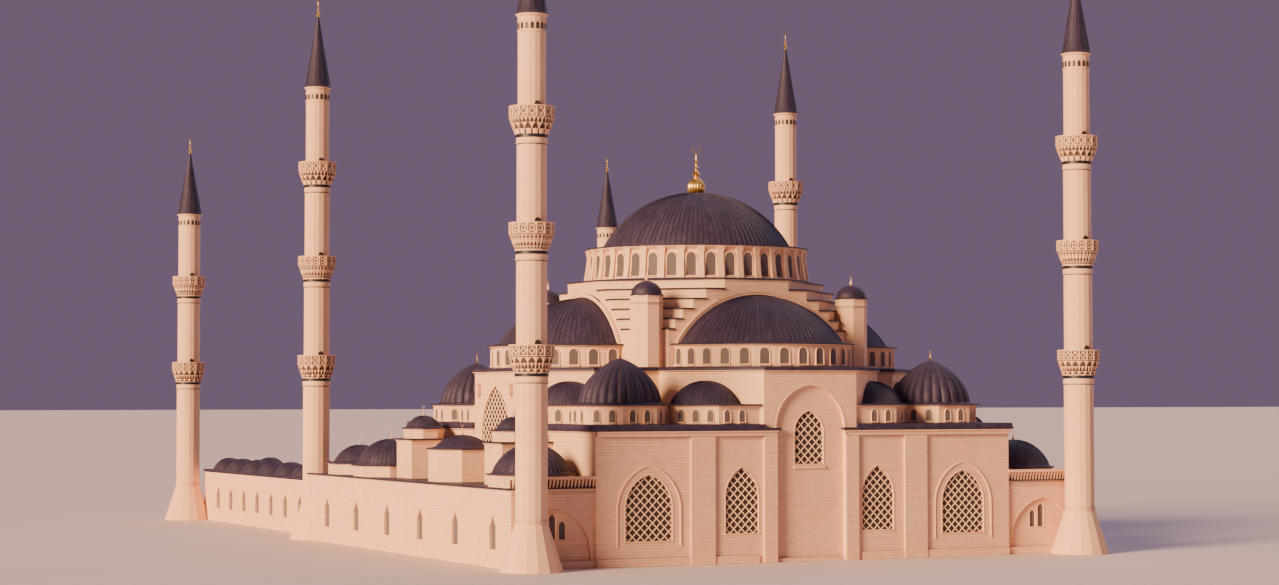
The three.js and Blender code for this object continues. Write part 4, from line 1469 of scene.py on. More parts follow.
    def build(self) -> None:
        """Adds every piece of the minaret."""
        at = (self.x, self.y)
        count, top = len(self.levels), self.spire_base
        neck = self.radii[count]
        tiers = (LOW_TIERS, MIDDLE_TIERS, HIGH_TIERS)[:count]
        spots = list(zip(self.levels, self.radii))
        rings = [
            self.ring(self.foot, self.foot + 0.3, self.radii[0] - 0.1, self.radii[0] + 0.3, 0.1),
            self.ring(top - 3.0, top - 2.8, neck - 0.1, neck + 0.1),
            self.ring(top - 1.3, top - 1.1, neck - 0.1, neck + 0.1),
            self.ring(top - 0.35, top - 0.05, neck - 0.1, neck + 0.38, 0.14),
            *(self.mouldings(*spot) for spot in spots),
        ]
        carved = [self.carving(*spot, rows) for spot, rows in zip(spots, tiers)]
        dark = [self.bands(*spot) for spot in spots]
        tip = finial(*self.tip).moved(0, 0, top + self.spire_rise - 0.15)
        self.dresser.add(f"minaret_mouldings_{self.name}", rings, "smooth_stone", at)
        self.dresser.add(f"minaret_carving_{self.name}", carved, "carved", at)
        self.dresser.add(f"minaret_bands_{self.name}", dark, "band", at)
        # The openings are dark plates: painted shade.
        self.dresser.add(f"minaret_opening_shade_{self.name}", self.openings(), "pane", at)
        cone = self.spire(neck + 0.1)
        self.dresser.add(f"spire_lead_{self.name}", cone, "lead_16", at, (f"spire_{self.name}",))
        self.dresser.add(f"spire_finial_{self.name}", tip, "gilt", at)


# Places of the minarets, with the heights of their dark bands and of their spires' feet.
MINARET_X = 53.08
TALL = ((31.35, 50.85, 69.5), 89.1)
SHORT = ((31.2, 50.85), 69.9)
MINARET_ROWS = (("front", -98.05, *TALL), ("middle", 7.65, *TALL), ("back", 98.05, *SHORT))


# The prayer hall.


def ledge(path: Array, z: float, closed: bool, reach: float, thick: float) -> Body:
    """A lead drip edge along a plan; its outside is on the right of the path.

    Args:
        path: The plan.
        z: Height of its top.
        closed: Whether the plan's end joins its start.
        reach: How far it stands out.
        thick: Its height.

    Returns:
        The edge.
    """
    low, lean = z - thick, 0.05
    section = outline(
        (-0.3, low), (reach, low), (reach + lean, z - thick * 0.3), (reach - lean, z), (-0.3, z))
    return swept(path, section, closed)


def cornice(path: Array, z: float, closed: bool, reach: float, tall: float) -> Body:
    """A stone cornice of two steps and a cove, hanging from a height.

    Args:
        path: The plan.
        z: Height of its top.
        closed: Whether the plan's end joins its start.
        reach: How far it stands out.
        tall: Its height.

    Returns:
        The cornice.
    """
    inner, step, low, lip = reach * 0.1, reach * 0.25, z - tall, z - tall * 0.2
    section = outline(
        (-0.2, low), (step, low), (step, z - tall * 0.86), (inner, z - tall * 0.84),
        (inner, z - tall * 0.45), (reach * 0.7, lip), (reach, lip), (reach, z), (-0.2, z))
    return swept(path, section, closed)


def circle(radius: float, sides: int) -> Array:
    """Corners of a regular outline, in turn to the left."""
    angle = ring_angles(sides)
    return radius * np.column_stack([np.cos(angle), np.sin(angle)])


def octagon(apothem: float, x: float, y: float) -> Array:
    """Corners of an eight-sided plan with flats that face the axes."""
    return circle(apothem / math.cos(math.pi / 8), 8) + (x, y)


def cap_arc(half: float, rise: float, base: float, steps: int) -> Array:
    """A shallow dome's outline from its right rim over its crown to its left rim.

    Args:
        half: Half of its width.
        rise: Its rise.
        base: Height of its rims.
        steps: Chords on each side.

    Returns:
        The outline.
    """
    radius = (half * half + rise * rise) / (2 * rise)
    start = math.asin((radius - rise) / radius)
    angle = np.linspace(start, math.pi - start, 2 * steps + 1)
    return np.column_stack([radius * np.cos(angle), radius * np.sin(angle) - radius + rise + base])


def at_corner(path: Array, sx: int, sy: int) -> Array:
    """A path of the front right corner, mirrored to another corner with its outside kept on the right."""
    mirrored = path * (sx, -sy)
    return mirrored[::-1] if sx * sy > 0 else mirrored


@dataclass
class Crown(Group):
    """Main dome, its drum, the stepped base and the four half domes."""

    radius: float = 17.5
    rise: float = 10.7
    drum_base: float = 48.9
    drum_top: float = 54.9
    windows: int = 36
    half_radius: float = 15.3
    half_rise: float = 8.65
    gable: float = 23.2
    half_drum: float = 16.5
    roof: float = 32.9
    half_top: float = 37.0
    tiers: tuple[tuple[float, float], ...] = (
        (39.7, 17.6), (41.5, 16.25), (43.3, 14.7), (45.1, 12.6), (46.9, 10.1), (48.7, 6.4))
    turret: tuple[float, float] = (20.66, 21.04)
    turret_top: float = 45.5
    skirt: tuple[float, float] = (17.0, 20.6)
    drum_face: float = 20.02
    half_bays: int = 15
    melon: float = 1.68
    melon_rise: float = 2.9

    def main_dome(self) -> None:
        """The ribbed main dome with its spreading foot."""
        top = self.drum_top
        dome = Dome(ORIGIN, top, self.radius, self.rise, 108, roll=0.09, shell=0.6, rows=22)
        inner, outer = self.skirt
        skirt = outline(
            (inner, top), (outer, top), (outer, top + 0.05), (inner + 0.7, top + 0.16), (inner, top + 0.2))
        self.dresser.add("main_dome_lead", dome.body(), "lead_108", replaces=("main_dome",))
        self.dresser.add("main_dome_skirt", lathed(skirt, 108), "lead_108")

    def bulb(self) -> None:
        """The gilt melon under the finial, with balls and a crescent over it.

        Its radius is a sine bulge to the power 0.8, cut into gores that are half sines.
        """
        base, steps, gores = self.drum_top + self.rise, 8, 16
        t = np.linspace(0, 1, 17)[:, None]
        angle = np.arange(gores * steps) * math.tau / (gores * steps)
        wave = 1 - np.abs(np.sin(angle * gores / 2)) ** 0.6
        reach = self.melon * np.sin(np.pi * (0.22 + 0.70 * t)) ** 0.8 * (1 - 0.09 * wave)
        outer = polar(reach, angle, base - 0.1 + self.melon_rise * t)
        melon = sheet_body(outer, outer * (0.3, 0.3, 1.0), True, np.broadcast_to(wave, reach.shape) * 0.5)
        stem = finial(6.2, 0.78, 20).moved(0, 0, base + 2.6)
        self.dresser.add("main_finial_gilt", [melon, stem], "gilt", replaces=("main_finial",))

    def drum(self) -> None:
        """Windows between leaning buttresses, with mouldings and lead edges."""
        low, high = self.drum_base, self.drum_top - 0.55
        window = Window(0.88, low + 0.45, low + 3.7, low + 4.65, sunk=0.02)
        window.fill(self.dresser, "drum_window", around(self.windows, self.drum_face))
        side = outline(
            (20.8, low), (20.4, low + 2.4), (20.15, high - 1.0), (20.35, high), (20.45, high + 0.2))
        widths = np.array([0.58, 0.52, 0.5, 0.68, 0.8])
        grids = [
            np.stack([np.stack([end * widths, side[:, 0] + lift, side[:, 1]], -1) for end in SIDES], 1)
            for lift in (0.1, -1.2)
        ]
        between = around(self.windows, 0.0, first=math.pi / self.windows)
        ribs = sheet_body(*grids, wrap=False).scattered(between)
        foot = outline((20.2, low + 0.02), (20.75, low + 0.02), (20.7, low + 0.2), (20.2, low + 0.35))
        rings = [cornice(circle(19.85, 72), self.drum_top - 0.35, True, 0.5, 0.35), lathed(foot, 72)]
        edges = [
            ledge(circle(20.5, 72), self.drum_top + 0.03, True, 0.13, 0.24),
            ledge(circle(20.9, 60), low + 0.06, True, 0.16, 0.26),
        ]
        self.dresser.add("drum_ribs", ribs, "smooth_stone")
        self.dresser.add("drum_mouldings", rings, "smooth_stone")
        self.dresser.add("drum_lead_edges", edges, "lead_0")

    def steps(self) -> None:
        """Lead edges of the stepped base, each with a pale fillet under it."""
        g = self.gable
        edges, fillets = [], []
        above = [w for _, w in self.tiers[1:]] + [0.0]
        for (top, w), next_w in zip(self.tiers, above):
            corner = np.array([(next_w, -g), (w, -g), (g, -w), (g, -next_w)])
            for sx, sy in CORNERS:
                path = at_corner(corner, sx, sy)
                edges.append(ledge(path, top + 0.05, False, 0.26, 0.27))
                fillets.append(cornice(path, top - 0.22, False, 0.14, 0.36))
        self.dresser.add("step_lead_edges", edges, "lead_0")
        self.dresser.add("step_fillets", fillets, "smooth_stone")

    def half_domes(self) -> None:
        """Half domes with their rims, and their drums' windows and mouldings."""
        count = self.half_bays
        step = math.pi / count
        face = self.half_drum * math.cos(step / 2) - 0.02
        spots = around(count, face, (0, -self.gable), -(count // 2) * step, step)
        places = np.concatenate([turned_places(spots, turn) for turn in QUARTERS])
        Window(0.8, 33.4, 35.4, 36.2, proud=0.24, sunk=-0.1).fill(self.dresser, "half_drum_window", places)
        angle = np.linspace(math.pi, math.tau, 3 * count + 1)
        bows = (
            (16.45, cornice, 36.9, 0.55, 0.62, "mouldings"),
            (16.45, ledge, 37.08, 0.75, 0.26, "lead_edges"),
            (16.4, cornice, 33.32, 0.16, 0.42, "mouldings"),
            (15.4, ledge, 37.3, 0.35, 0.25, "lead_edges"),
        )
        made = {"mouldings": [], "lead_edges": []}
        for side, turn in zip(("front", "right", "back", "left"), QUARTERS):
            at = turned(np.array([0.0, -self.gable]), turn)
            base = self.half_top + 0.004
            dome = Dome(at, base, self.half_radius, self.half_rise, 96, roll=0.08, shell=0.6, turn=turn)
            node = f"semi_dome_{side}"
            self.dresser.add(f"half_dome_lead_{side}", dome.body(), "lead_96", replaces=(node,))
            for radius, make, z, reach, tall, kind in bows:
                arc = np.column_stack([radius * np.cos(angle), radius * np.sin(angle) - self.gable])
                made[kind].append(make(turned(arc, turn), z, False, reach, tall))
        self.dresser.add("half_drum_mouldings", made["mouldings"], "smooth_stone")
        self.dresser.add("half_drum_lead_edges", made["lead_edges"], "lead_0")
        self.rims()

    def rims(self) -> None:
        """Stone rims of the arches that the half domes lean on, each with a dark lead strip inside that
        paints the shadow line along it.
        """
        front = np.column_stack([np.zeros(4), np.zeros(4), QUARTERS])
        path = cap_arc(self.half_radius, self.half_rise, self.half_top, 20)
        face = self.gable + 0.5
        roll = oblong(0.62, 0.95, face - 0.3, face + 0.1)
        line = oblong(-0.02, 0.2, face - 0.5, face + 0.08)
        self.dresser.add("arch_rims", rim(path, roll).scattered(front), "smooth_stone")
        # The dark lead strip along each arch's inner edge paints the shadow line there.
        self.dresser.add("arch_shadow_strips", rim(path, line).scattered(front), "lead_0")

    def turrets(self) -> None:
        """Lead caps, mouldings and finials of the four turrets."""
        top = self.turret_top
        shell = outline(
            (0.0, top - 0.1), (3.0, top - 0.1), (3.02, top + 0.1), (2.7, top + 0.16), (2.66, top + 0.7),
            (2.42, top + 1.25), (1.85, top + 1.85), (1.15, top + 2.25), (0.4, top + 2.5), (0.0, top + 2.55))
        rows = (
            (top - 0.5, top - 0.1, 3.0), (top - 1.62, top - 1.46, 3.08), (self.roof, self.roof + 0.5, 3.05))
        rings = gathered(
            lathed(outline((2.5, low), (reach - 0.1, low), (reach, high), (2.5, high)), 8)
            for low, high, reach in rows)
        for (sx, sy), name in zip(CORNERS, CORNER_NAMES):
            at = (sx * self.turret[0], sy * self.turret[1])
            self.dresser.add(f"turret_cap_{name}", lathed(shell, 16).moved(*at), "lead_16")
            self.dresser.add(f"turret_finial_{name}", finial(2.2, 0.17, 8).moved(*at, top + 2.45), "gilt")
            self.dresser.add(f"turret_mouldings_{name}", rings.moved(*at), "smooth_stone")

    def build(self) -> None:
        """Adds every piece."""
        self.main_dome()
        self.bulb()
        self.drum()
        self.steps()
        self.half_domes()
        self.turrets()


@dataclass
class Corners(Group):
    """Corner drums with their melon domes, small half domes and lead edges.

    Attributes:
        x: Place of a drum in the plan.
        y: Place of a drum in the plan.
        apothem: Distance of a drum's sides from its axis.
        top: Height of the drums.
        bay: Depth of a small half dome's drum.
        bay_half: Half of the width of its front.
        slant: Share of a slanted side's length that it runs back, and along.
        pair_half: Half of the distance of a drum side's two windows.
        bay_front: Places of the windows in a small drum's front.
        bay_runs: Places of the windows along its slanted sides.
        cap: Radius, rise and depth of a small half dome.
        front_at: Middle of the small half dome beside the front or back arm.
        side_at: Middle of the one beside a side arm.
    """

    x: float = 30.8
    y: float = 31.5
    apothem: float = 7.6
    top: float = 26.5
    bay: float = 5.48
    bay_half: float = 4.0
    slant: float = 0.7071
    pair_half: float = 1.36
    bay_front: tuple[float, ...] = (-2.6, 0.0, 2.6)
    bay_runs: tuple[float, ...] = (1.6, 4.4)
    cap: tuple[float, float, float] = (6.16, 4.06, 5.46)
    front_at: tuple[float, float] = (16.28, 34.82)
    side_at: tuple[float, float] = (33.3, 16.55)

    def edges(self, path: Array, closed: bool) -> tuple[Body, Body]:
        """The lead edge and the cornice along a drum's plan."""
        stone = cornice(path, self.top - 0.16, closed, 0.42, 0.62)
        return ledge(path, self.top + 0.08, closed, 0.62, 0.26), stone

    def bay_places(self) -> Array:
        """Places of a small drum's windows: three in front and two on each slanted side.

        Returns:
            Rows of x, y and turn about the drum's own middle.
        """
        front = [(off, -self.bay, 0.0) for off in self.bay_front]
        slanted = [
            (side * (self.bay_half + run * self.slant), -self.bay + run * self.slant, side * math.pi / 4)
            for side in SIDES for run in self.bay_runs
        ]
        return np.array(front + slanted)

    def build(self) -> None:
        """Adds every piece of the four corners."""
        top, spots, leads, mouldings, caps = self.top, [], [], [], []
        plan = np.array([(-9.6, 0.1), (-self.bay_half, -self.bay), (self.bay_half, -self.bay), (9.6, 0.1)])
        foot = outline((6.0, top), (7.5, top), (7.5, top + 0.14), (7.02, top + 0.34), (6.0, top + 0.5))
        skirt = lathed(foot, 48)
        for (sx, sy), name in zip(CORNERS, CORNER_NAMES):
            centre = (sx * self.x, sy * self.y)
            melon = MelonDome(centre, top + 0.004).body()
            self.dresser.add(f"melon_dome_{name}", melon, "lead_24", replaces=(f"corner_dome_{name}",))
            self.dresser.add(f"corner_finial_{name}", finial(2.3, 0.3).moved(*centre, top + 7.7), "gilt")
            for side in SIDES:
                place = around(1, self.apothem) + (side * self.pair_half, 0.0, 0.0)
                spots += [turned_places(place, k * math.pi / 4, centre) for k in range(8)]
            lead, stone = self.edges(octagon(self.apothem, *centre), True)
            leads += [lead, skirt.moved(*centre)]
            mouldings.append(stone)
            face = math.atan2(sy, sx) + math.pi / 2
            for x, y in (self.front_at, self.side_at):
                at = (sx * x, sy * y)
                lead, stone = self.edges(turned(plan, face) + at, False)
                leads.append(lead)
                mouldings.append(stone)
                spots.append(turned_places(self.bay_places(), face, at))
                radius, rise, depth = self.cap
                squeeze = depth / radius
                cap = Dome(at, top - 0.01, radius, rise, 64, roll=0.07, turn=face, squeeze=squeeze, rows=8)
                caps.append(cap.body())
        window = Window(0.55, 23.55, 24.95, 25.65, band=0.13, proud=0.2, sunk=-0.1, steps=4)
        window.fill(self.dresser, "corner_window", np.concatenate(spots))
        self.dresser.add("corner_lead_edges", leads, "lead_0")
        self.dresser.add("corner_mouldings", mouldings, "smooth_stone")
        self.dresser.add("small_half_domes", caps, "lead_64")


# The large lattice windows of the hall's walls.
BIG_LATTICE = {"pitch": 1.47, "bar": 0.18, "proud": 0.08, "sunk": 0.3, "steps": 10, "tone": "lattice"}


@dataclass
class Walls(Group):
    """Windows, arches, pilasters and cornices of the hall's walls."""

    half_x: float = 40.2
    half_y: float = 42.1
    eaves: float = 22.1
    upper_top: float = 32.3
    arm_front: float = 9.0
    arm_side: float = 9.65
    neck: float = 19.7
    pier: float = 24.1
    roof_edge: float = 32.95
    terrace_edge: float = 22.58
    near_window: float = 13.25
    wide_window: float = 30.6
    bosses: float = 7.3
    recess: float = 0.6
    pilasters_at: tuple[float, float] = (7.95, 20.75)
    plinth_at: float = 25.1
    pilaster_top: float = 21.95

    def walls(self, across: Sequence[float], out: float, turns: tuple[float, float]) -> Array:
        """Places on two opposite walls, at distances either way from the middle.

        Args:
            across: The distances.
            out: How far the walls stand from the middle.
            turns: Angles that the two walls face, from the -Y side.

        Returns:
            Rows of x, y and turn.
        """
        places = np.concatenate([pair(a, -out) for a in across])
        return np.concatenate([turned_places(places, turn) for turn in turns])

    def on_ends(self, *across: float) -> Array:
        """Places on the front and back walls."""
        return self.walls(across, self.half_y, (0.0, math.pi))

    def on_sides(self, *across: float) -> Array:
        """Places on the side walls."""
        return self.walls(across, self.half_x, (math.pi / 2, -math.pi / 2))

    def windows(self) -> None:
        """The large lattice windows and the moulding round the wide ones."""
        ends = self.on_ends(0.0)[::2]
        deep = ends * (1, (self.half_y - self.recess) / self.half_y, 1)
        wide = self.on_ends(self.wide_window)
        for name, shape, band, places in (
            ("tall_arch_window", (2.8, 16.4, 21.8, 25.4), 0.14, deep),
            ("wall_window", (3.15, 5.0, 11.0, 16.1), 0.16, self.on_ends(self.near_window)),
            ("wide_window", (4.3, 4.1, 9.5, 15.0), 0.16, wide),
            ("side_arch_window", (6.4, 17.0, 20.5, 29.8), 0.2, self.on_sides(0.0)[::2]),
        ):
            Window(*shape, band=band, **BIG_LATTICE).fill(self.dresser, name, places)
        hood_line = outline((0.0, -0.2), (0.35, -0.2), (0.35, 0.14), (0.2, 0.2), (0.0, 0.1))
        hood = rim(arch(5.6, 3.2, 9.2, 16.3, 14), hood_line).scattered(wide)
        great = rim(arch(6.7, 0.6, 22.5, 29.8, 16), oblong(-0.02, 0.22, -0.7, 0.06)).scattered(ends)
        sill = block(-3.05, 3.05, -0.1, 0.3, 15.65, 16.15).scattered(deep)
        steps = (
            (0.5, 0.5, 28.5, 30.0), (0.62, 0.65, 30.0, 30.25),
            (0.62, 0.65, 28.3, 28.5), (0.25, 0.35, 27.7, 28.3))
        bosses = gathered(block(-half, half, -0.1, reach, low, high) for half, reach, low, high in steps)
        bosses = bosses.scattered(self.on_sides(self.bosses))
        bosses.depth[:] = 0.3
        self.dresser.add("window_hoods", [hood, great, sill, bosses], "carved")

    def pilasters(self) -> None:
        """Flat pilasters, plinth and the lead over the pair beside the great arch."""
        top = self.pilaster_top
        inner = block(-1.25, 1.25, -0.1, 0.5, 0.02, top)
        outer = block(-2.25, 2.25, -0.1, 0.45, 0.02, top)
        foot = block(-15.0, 15.0, -0.1, 0.3, 0.02, 1.3)
        parts = [
            *(each.scattered(self.on_ends(at)) for each, at in zip((inner, outer), self.pilasters_at)),
            foot.scattered(self.on_ends(self.plinth_at)),
        ]
        self.dresser.add("wall_pilasters", parts, "stone")
        cap = block(-1.35, 1.95, -0.1, 0.85, 22.15, 22.55)
        mirrored = Body(cap.points * (-1, 1, 1), cap.faces).outward()
        places = self.on_ends(8.05)
        caps = [cap.scattered(places[::2]), mirrored.scattered(places[1::2])]
        self.dresser.add("pilaster_lead_caps", caps, "lead_0")

    def cross(self) -> Array:
        """Outline of the upper storey, in turn to the left.

        Returns:
            The outline.
        """
        quarter = np.array([
            (self.arm_front, -self.half_y), (self.neck, -self.half_y + self.neck - self.arm_front),
            (self.neck, -self.pier), (self.pier, -self.pier), (self.pier, -self.neck),
            (self.half_x - self.neck + self.arm_side, -self.neck), (self.half_x, -self.arm_side)])
        flipped = quarter[::-1]
        return np.concatenate([quarter, flipped * (1, -1), quarter * (-1, -1), flipped * (-1, 1)])

    def cornices(self) -> None:
        """Cornices under the lead of both storeys, and the terrace's lead edge."""
        x, y = self.half_x, self.half_y
        run = np.array([(6.7, -y - 0.5), (x, -y - 0.5), (x, -y), (x, -self.arm_side)])
        edge = np.array([(6.4, -y), (x, -y), (x, -self.arm_side)])
        parts = [cornice(self.cross(), self.upper_top, True, 0.4, 0.62)]
        leads = [ledge(self.cross(), self.roof_edge, True, 0.5, 0.34)]
        for sx, sy in CORNERS:
            parts.append(cornice(at_corner(run[[0, 1]], sx, sy), self.eaves, False, 0.3, 0.85))
            parts.append(cornice(at_corner(run[[2, 3]], sx, sy), self.eaves, False, 0.35, 0.85))
            leads.append(ledge(at_corner(edge, sx, sy), self.terrace_edge, False, 0.66, 0.42))
        self.dresser.add("wall_cornices", parts, "smooth_stone")
        self.dresser.add("roof_lead_edges", leads, "lead_0")

    def build(self) -> None:
        """Adds every piece of the walls."""
        self.windows()
        self.pilasters()
        self.cornices()


# The windows of the outer walls of galleries and courtyard.
PLAIN_LATTICE = {"pitch": 0.6, "bar": 0.09, "band": 0.25, "proud": 0.12, "sunk": 0.4, "steps": 5}


def side_rows(out: float, along: Iterable[float]) -> Array:
    """Places along the left wall and then the right one."""
    return np.array([[side * out, y, side * math.pi / 2] for side in SIDES for y in along])


@dataclass
class Galleries(Group):
    """Galleries beside and behind the hall, with low domes and stair towers."""

    near: float = 40.2
    out: float = 55.0
    front: float = -41.6
    end: float = 60.4
    domes: tuple[tuple[float, float, float, float, float], ...] = (
        (47.6, -32.8, 15.2, 6.5, 4.8), (46.6, 0.0, 18.8, 4.9, 2.3), (47.6, 32.8, 15.2, 6.5, 4.8),
        (47.6, 50.0, 15.2, 5.1, 3.4))
    tower: tuple[float, float] = (45.7, 21.1)
    entrance: tuple[float, ...] = (-32, -16, 0, 16, 32)
    entrance_dome: tuple[float, ...] = (51.25, 14.6, 5.1, 3.4, 5.17)
    tower_dome: tuple[float, ...] = (22.2, 3.0, 2.2, 3.4)
    tower_half: float = 3.8
    tower_roof: float = 20.28
    consoles: int = 23
    arch_at: float = 47.75
    windows_at: tuple[float, ...] = (-34, -17.6, -1.2, 15.2, 31.6, 48)
    lancets: tuple[tuple, ...] = (
        ("short", 45.85, (0.62, 4.7, 7.1, 7.75)), ("long", 47.6, (0.66, 4.7, 8.15, 8.85)))
    lancet_depth: float = 0.45

    def roofs(self) -> None:
        """Domes with their lead edges, cornices and finials."""
        shells, edges, tips, stone = {48: [], 32: []}, [], [], []
        spots = [(s * x, y, z, r, h, min(r + 0.6, 6.6)) for s in SIDES for x, y, z, r, h in self.domes]
        wide = len(spots)
        spots += [(x, *self.entrance_dome) for x in self.entrance]
        spots += [(s * self.tower[0], t * self.tower[1], *self.tower_dome) for s in SIDES for t in SIDES]
        for k, (x, y, z, radius, rise, apothem) in enumerate(spots):
            ribs = 48 if k < wide else 32
            dome = Dome((x, y), z - 0.005, radius + 0.06, rise + 0.06, ribs, roll=0.06, rows=7)
            inner, outer = radius - 0.4, apothem + 0.1
            foot = outline(
                (inner, z), (outer, z), (outer, z + 0.1), (radius + 0.1, z + 0.25), (inner, z + 0.5))
            eight = octagon(apothem, x, y)
            shells[ribs] += [dome.body(), lathed(foot, 32).moved(x, y)]
            edges.append(ledge(eight, z + 0.06, True, 0.36, 0.24))
            stone.append(cornice(eight, z - 0.16, True, 0.24, 0.5))
            tips.append(finial(2.0, 0.3, 8).moved(x, y, z + rise - 0.05))
        x, y, half = *self.tower, self.tower_half
        far = x + half
        corner = outline((self.near, -y - half), (far, -y - half), (far, half - y), (self.near, half - y))
        for s in SIDES:
            for t in SIDES:
                path = at_corner(corner, s, t)
                edges.append(ledge(path, self.tower_roof, False, 0.4, 0.3))
                stone.append(cornice(path, self.tower_roof - 0.3, False, 0.28, 0.6))
        self.dresser.add("gallery_domes", shells[48], "lead_48")
        self.dresser.add("entrance_domes", shells[32], "lead_32")
        self.dresser.add("gallery_lead_edges", edges, "lead_0")
        self.dresser.add("gallery_mouldings", stone, "smooth_stone")
        self.dresser.add("gallery_finials", tips, "smooth_stone")

    def console(self) -> Body:
        """A bracket of the parapet; it leans out along half a cosine from its foot to its head.

        Returns:
            The bracket, on the wall's face.
        """
        t = np.linspace(0, 1, 7)
        lean = 0.08 + 0.42 * (1 - np.cos(t * math.pi)) / 2
        height = 13.1 + 1.35 * t
        rows = [
            np.stack([np.stack([side * 0.135 + 0 * t, reach, height], -1) for side in SIDES], 1)
            for reach in (lean, 0 * t - 0.1)
        ]
        return sheet_body(*rows, wrap=False)

    def parapets(self) -> None:
        """Parapet over the wing fronts, on curved consoles, with string lines and lead."""
        along = np.linspace(self.near + 0.35, self.out - 0.35, self.consoles)
        places = np.concatenate([pair(a, self.front) for a in along])
        face = pair((self.near + self.out) / 2, self.front)
        half = (self.out - self.near) / 2
        walls = [self.console().scattered(places)]
        lines = ((14.45, 14.92, -0.5, 0.6), (12.1, 12.22, -0.1, 0.14), (0.02, 1.2, -0.1, 0.25))
        for low, high, back, reach in lines:
            walls.append(block(-half, half, back, reach, low, high).scattered(face))
        self.dresser.add("wing_parapets", walls, "smooth_stone")
        # A plate behind the consoles, painted fully dark: painted shade in the gaps between them.
        shade = block(-half, half, -0.5, 0.02, 13.05, 14.5)
        shade.depth = np.ones(len(shade.points))
        self.dresser.add("wing_parapet_gap_shade", shade.scattered(face), "carved")
        x, y0, y1 = self.out, self.front, self.end
        line = outline((-0.4, 12.8), (0.35, 12.8), (0.4, 12.9), (0.35, 13.08), (-0.4, 13.08))
        lead = [block(-half, half, -0.1, 0.42, 12.92, 13.1).scattered(face)]
        paths = (outline((x, y0), (x, y1)), outline((-x, y1), (-x, y0)))
        lead += [swept(path, line, False) for path in paths]
        self.dresser.add("wing_lead_edges", lead, "lead_0")
        bows = rim(arch(6.85, 0.0, 2.0, 9.9, 12), oblong(-0.02, 0.16, -0.5, 0.06))
        self.dresser.add("wing_arches", bows.scattered(pair(self.arch_at, self.front)), "carved")

    def windows(self) -> None:
        """Lancets of the wing fronts and the windows of the outer walls."""
        for name, x, shape in self.lancets:
            window = Window(*shape, pitch=0.34, bar=0.05, band=0.1, proud=0.08, sunk=0.25, steps=4)
            window.fill(self.dresser, f"{name}_lancet", pair(x, self.front + self.lancet_depth))
        rows = side_rows(self.out, self.windows_at)
        Window(1.4, 3.0, 6.5, 8.5, **PLAIN_LATTICE).fill(self.dresser, "gallery_window", rows)
        back = np.array([[x, self.end, math.pi] for x in self.entrance if x])
        Window(1.5, 3.0, 6.5, 8.8, **PLAIN_LATTICE).fill(self.dresser, "entrance_window", back)

    def build(self) -> None:
        """Adds every piece of the galleries."""
        self.roofs()
        self.parapets()
        self.windows()


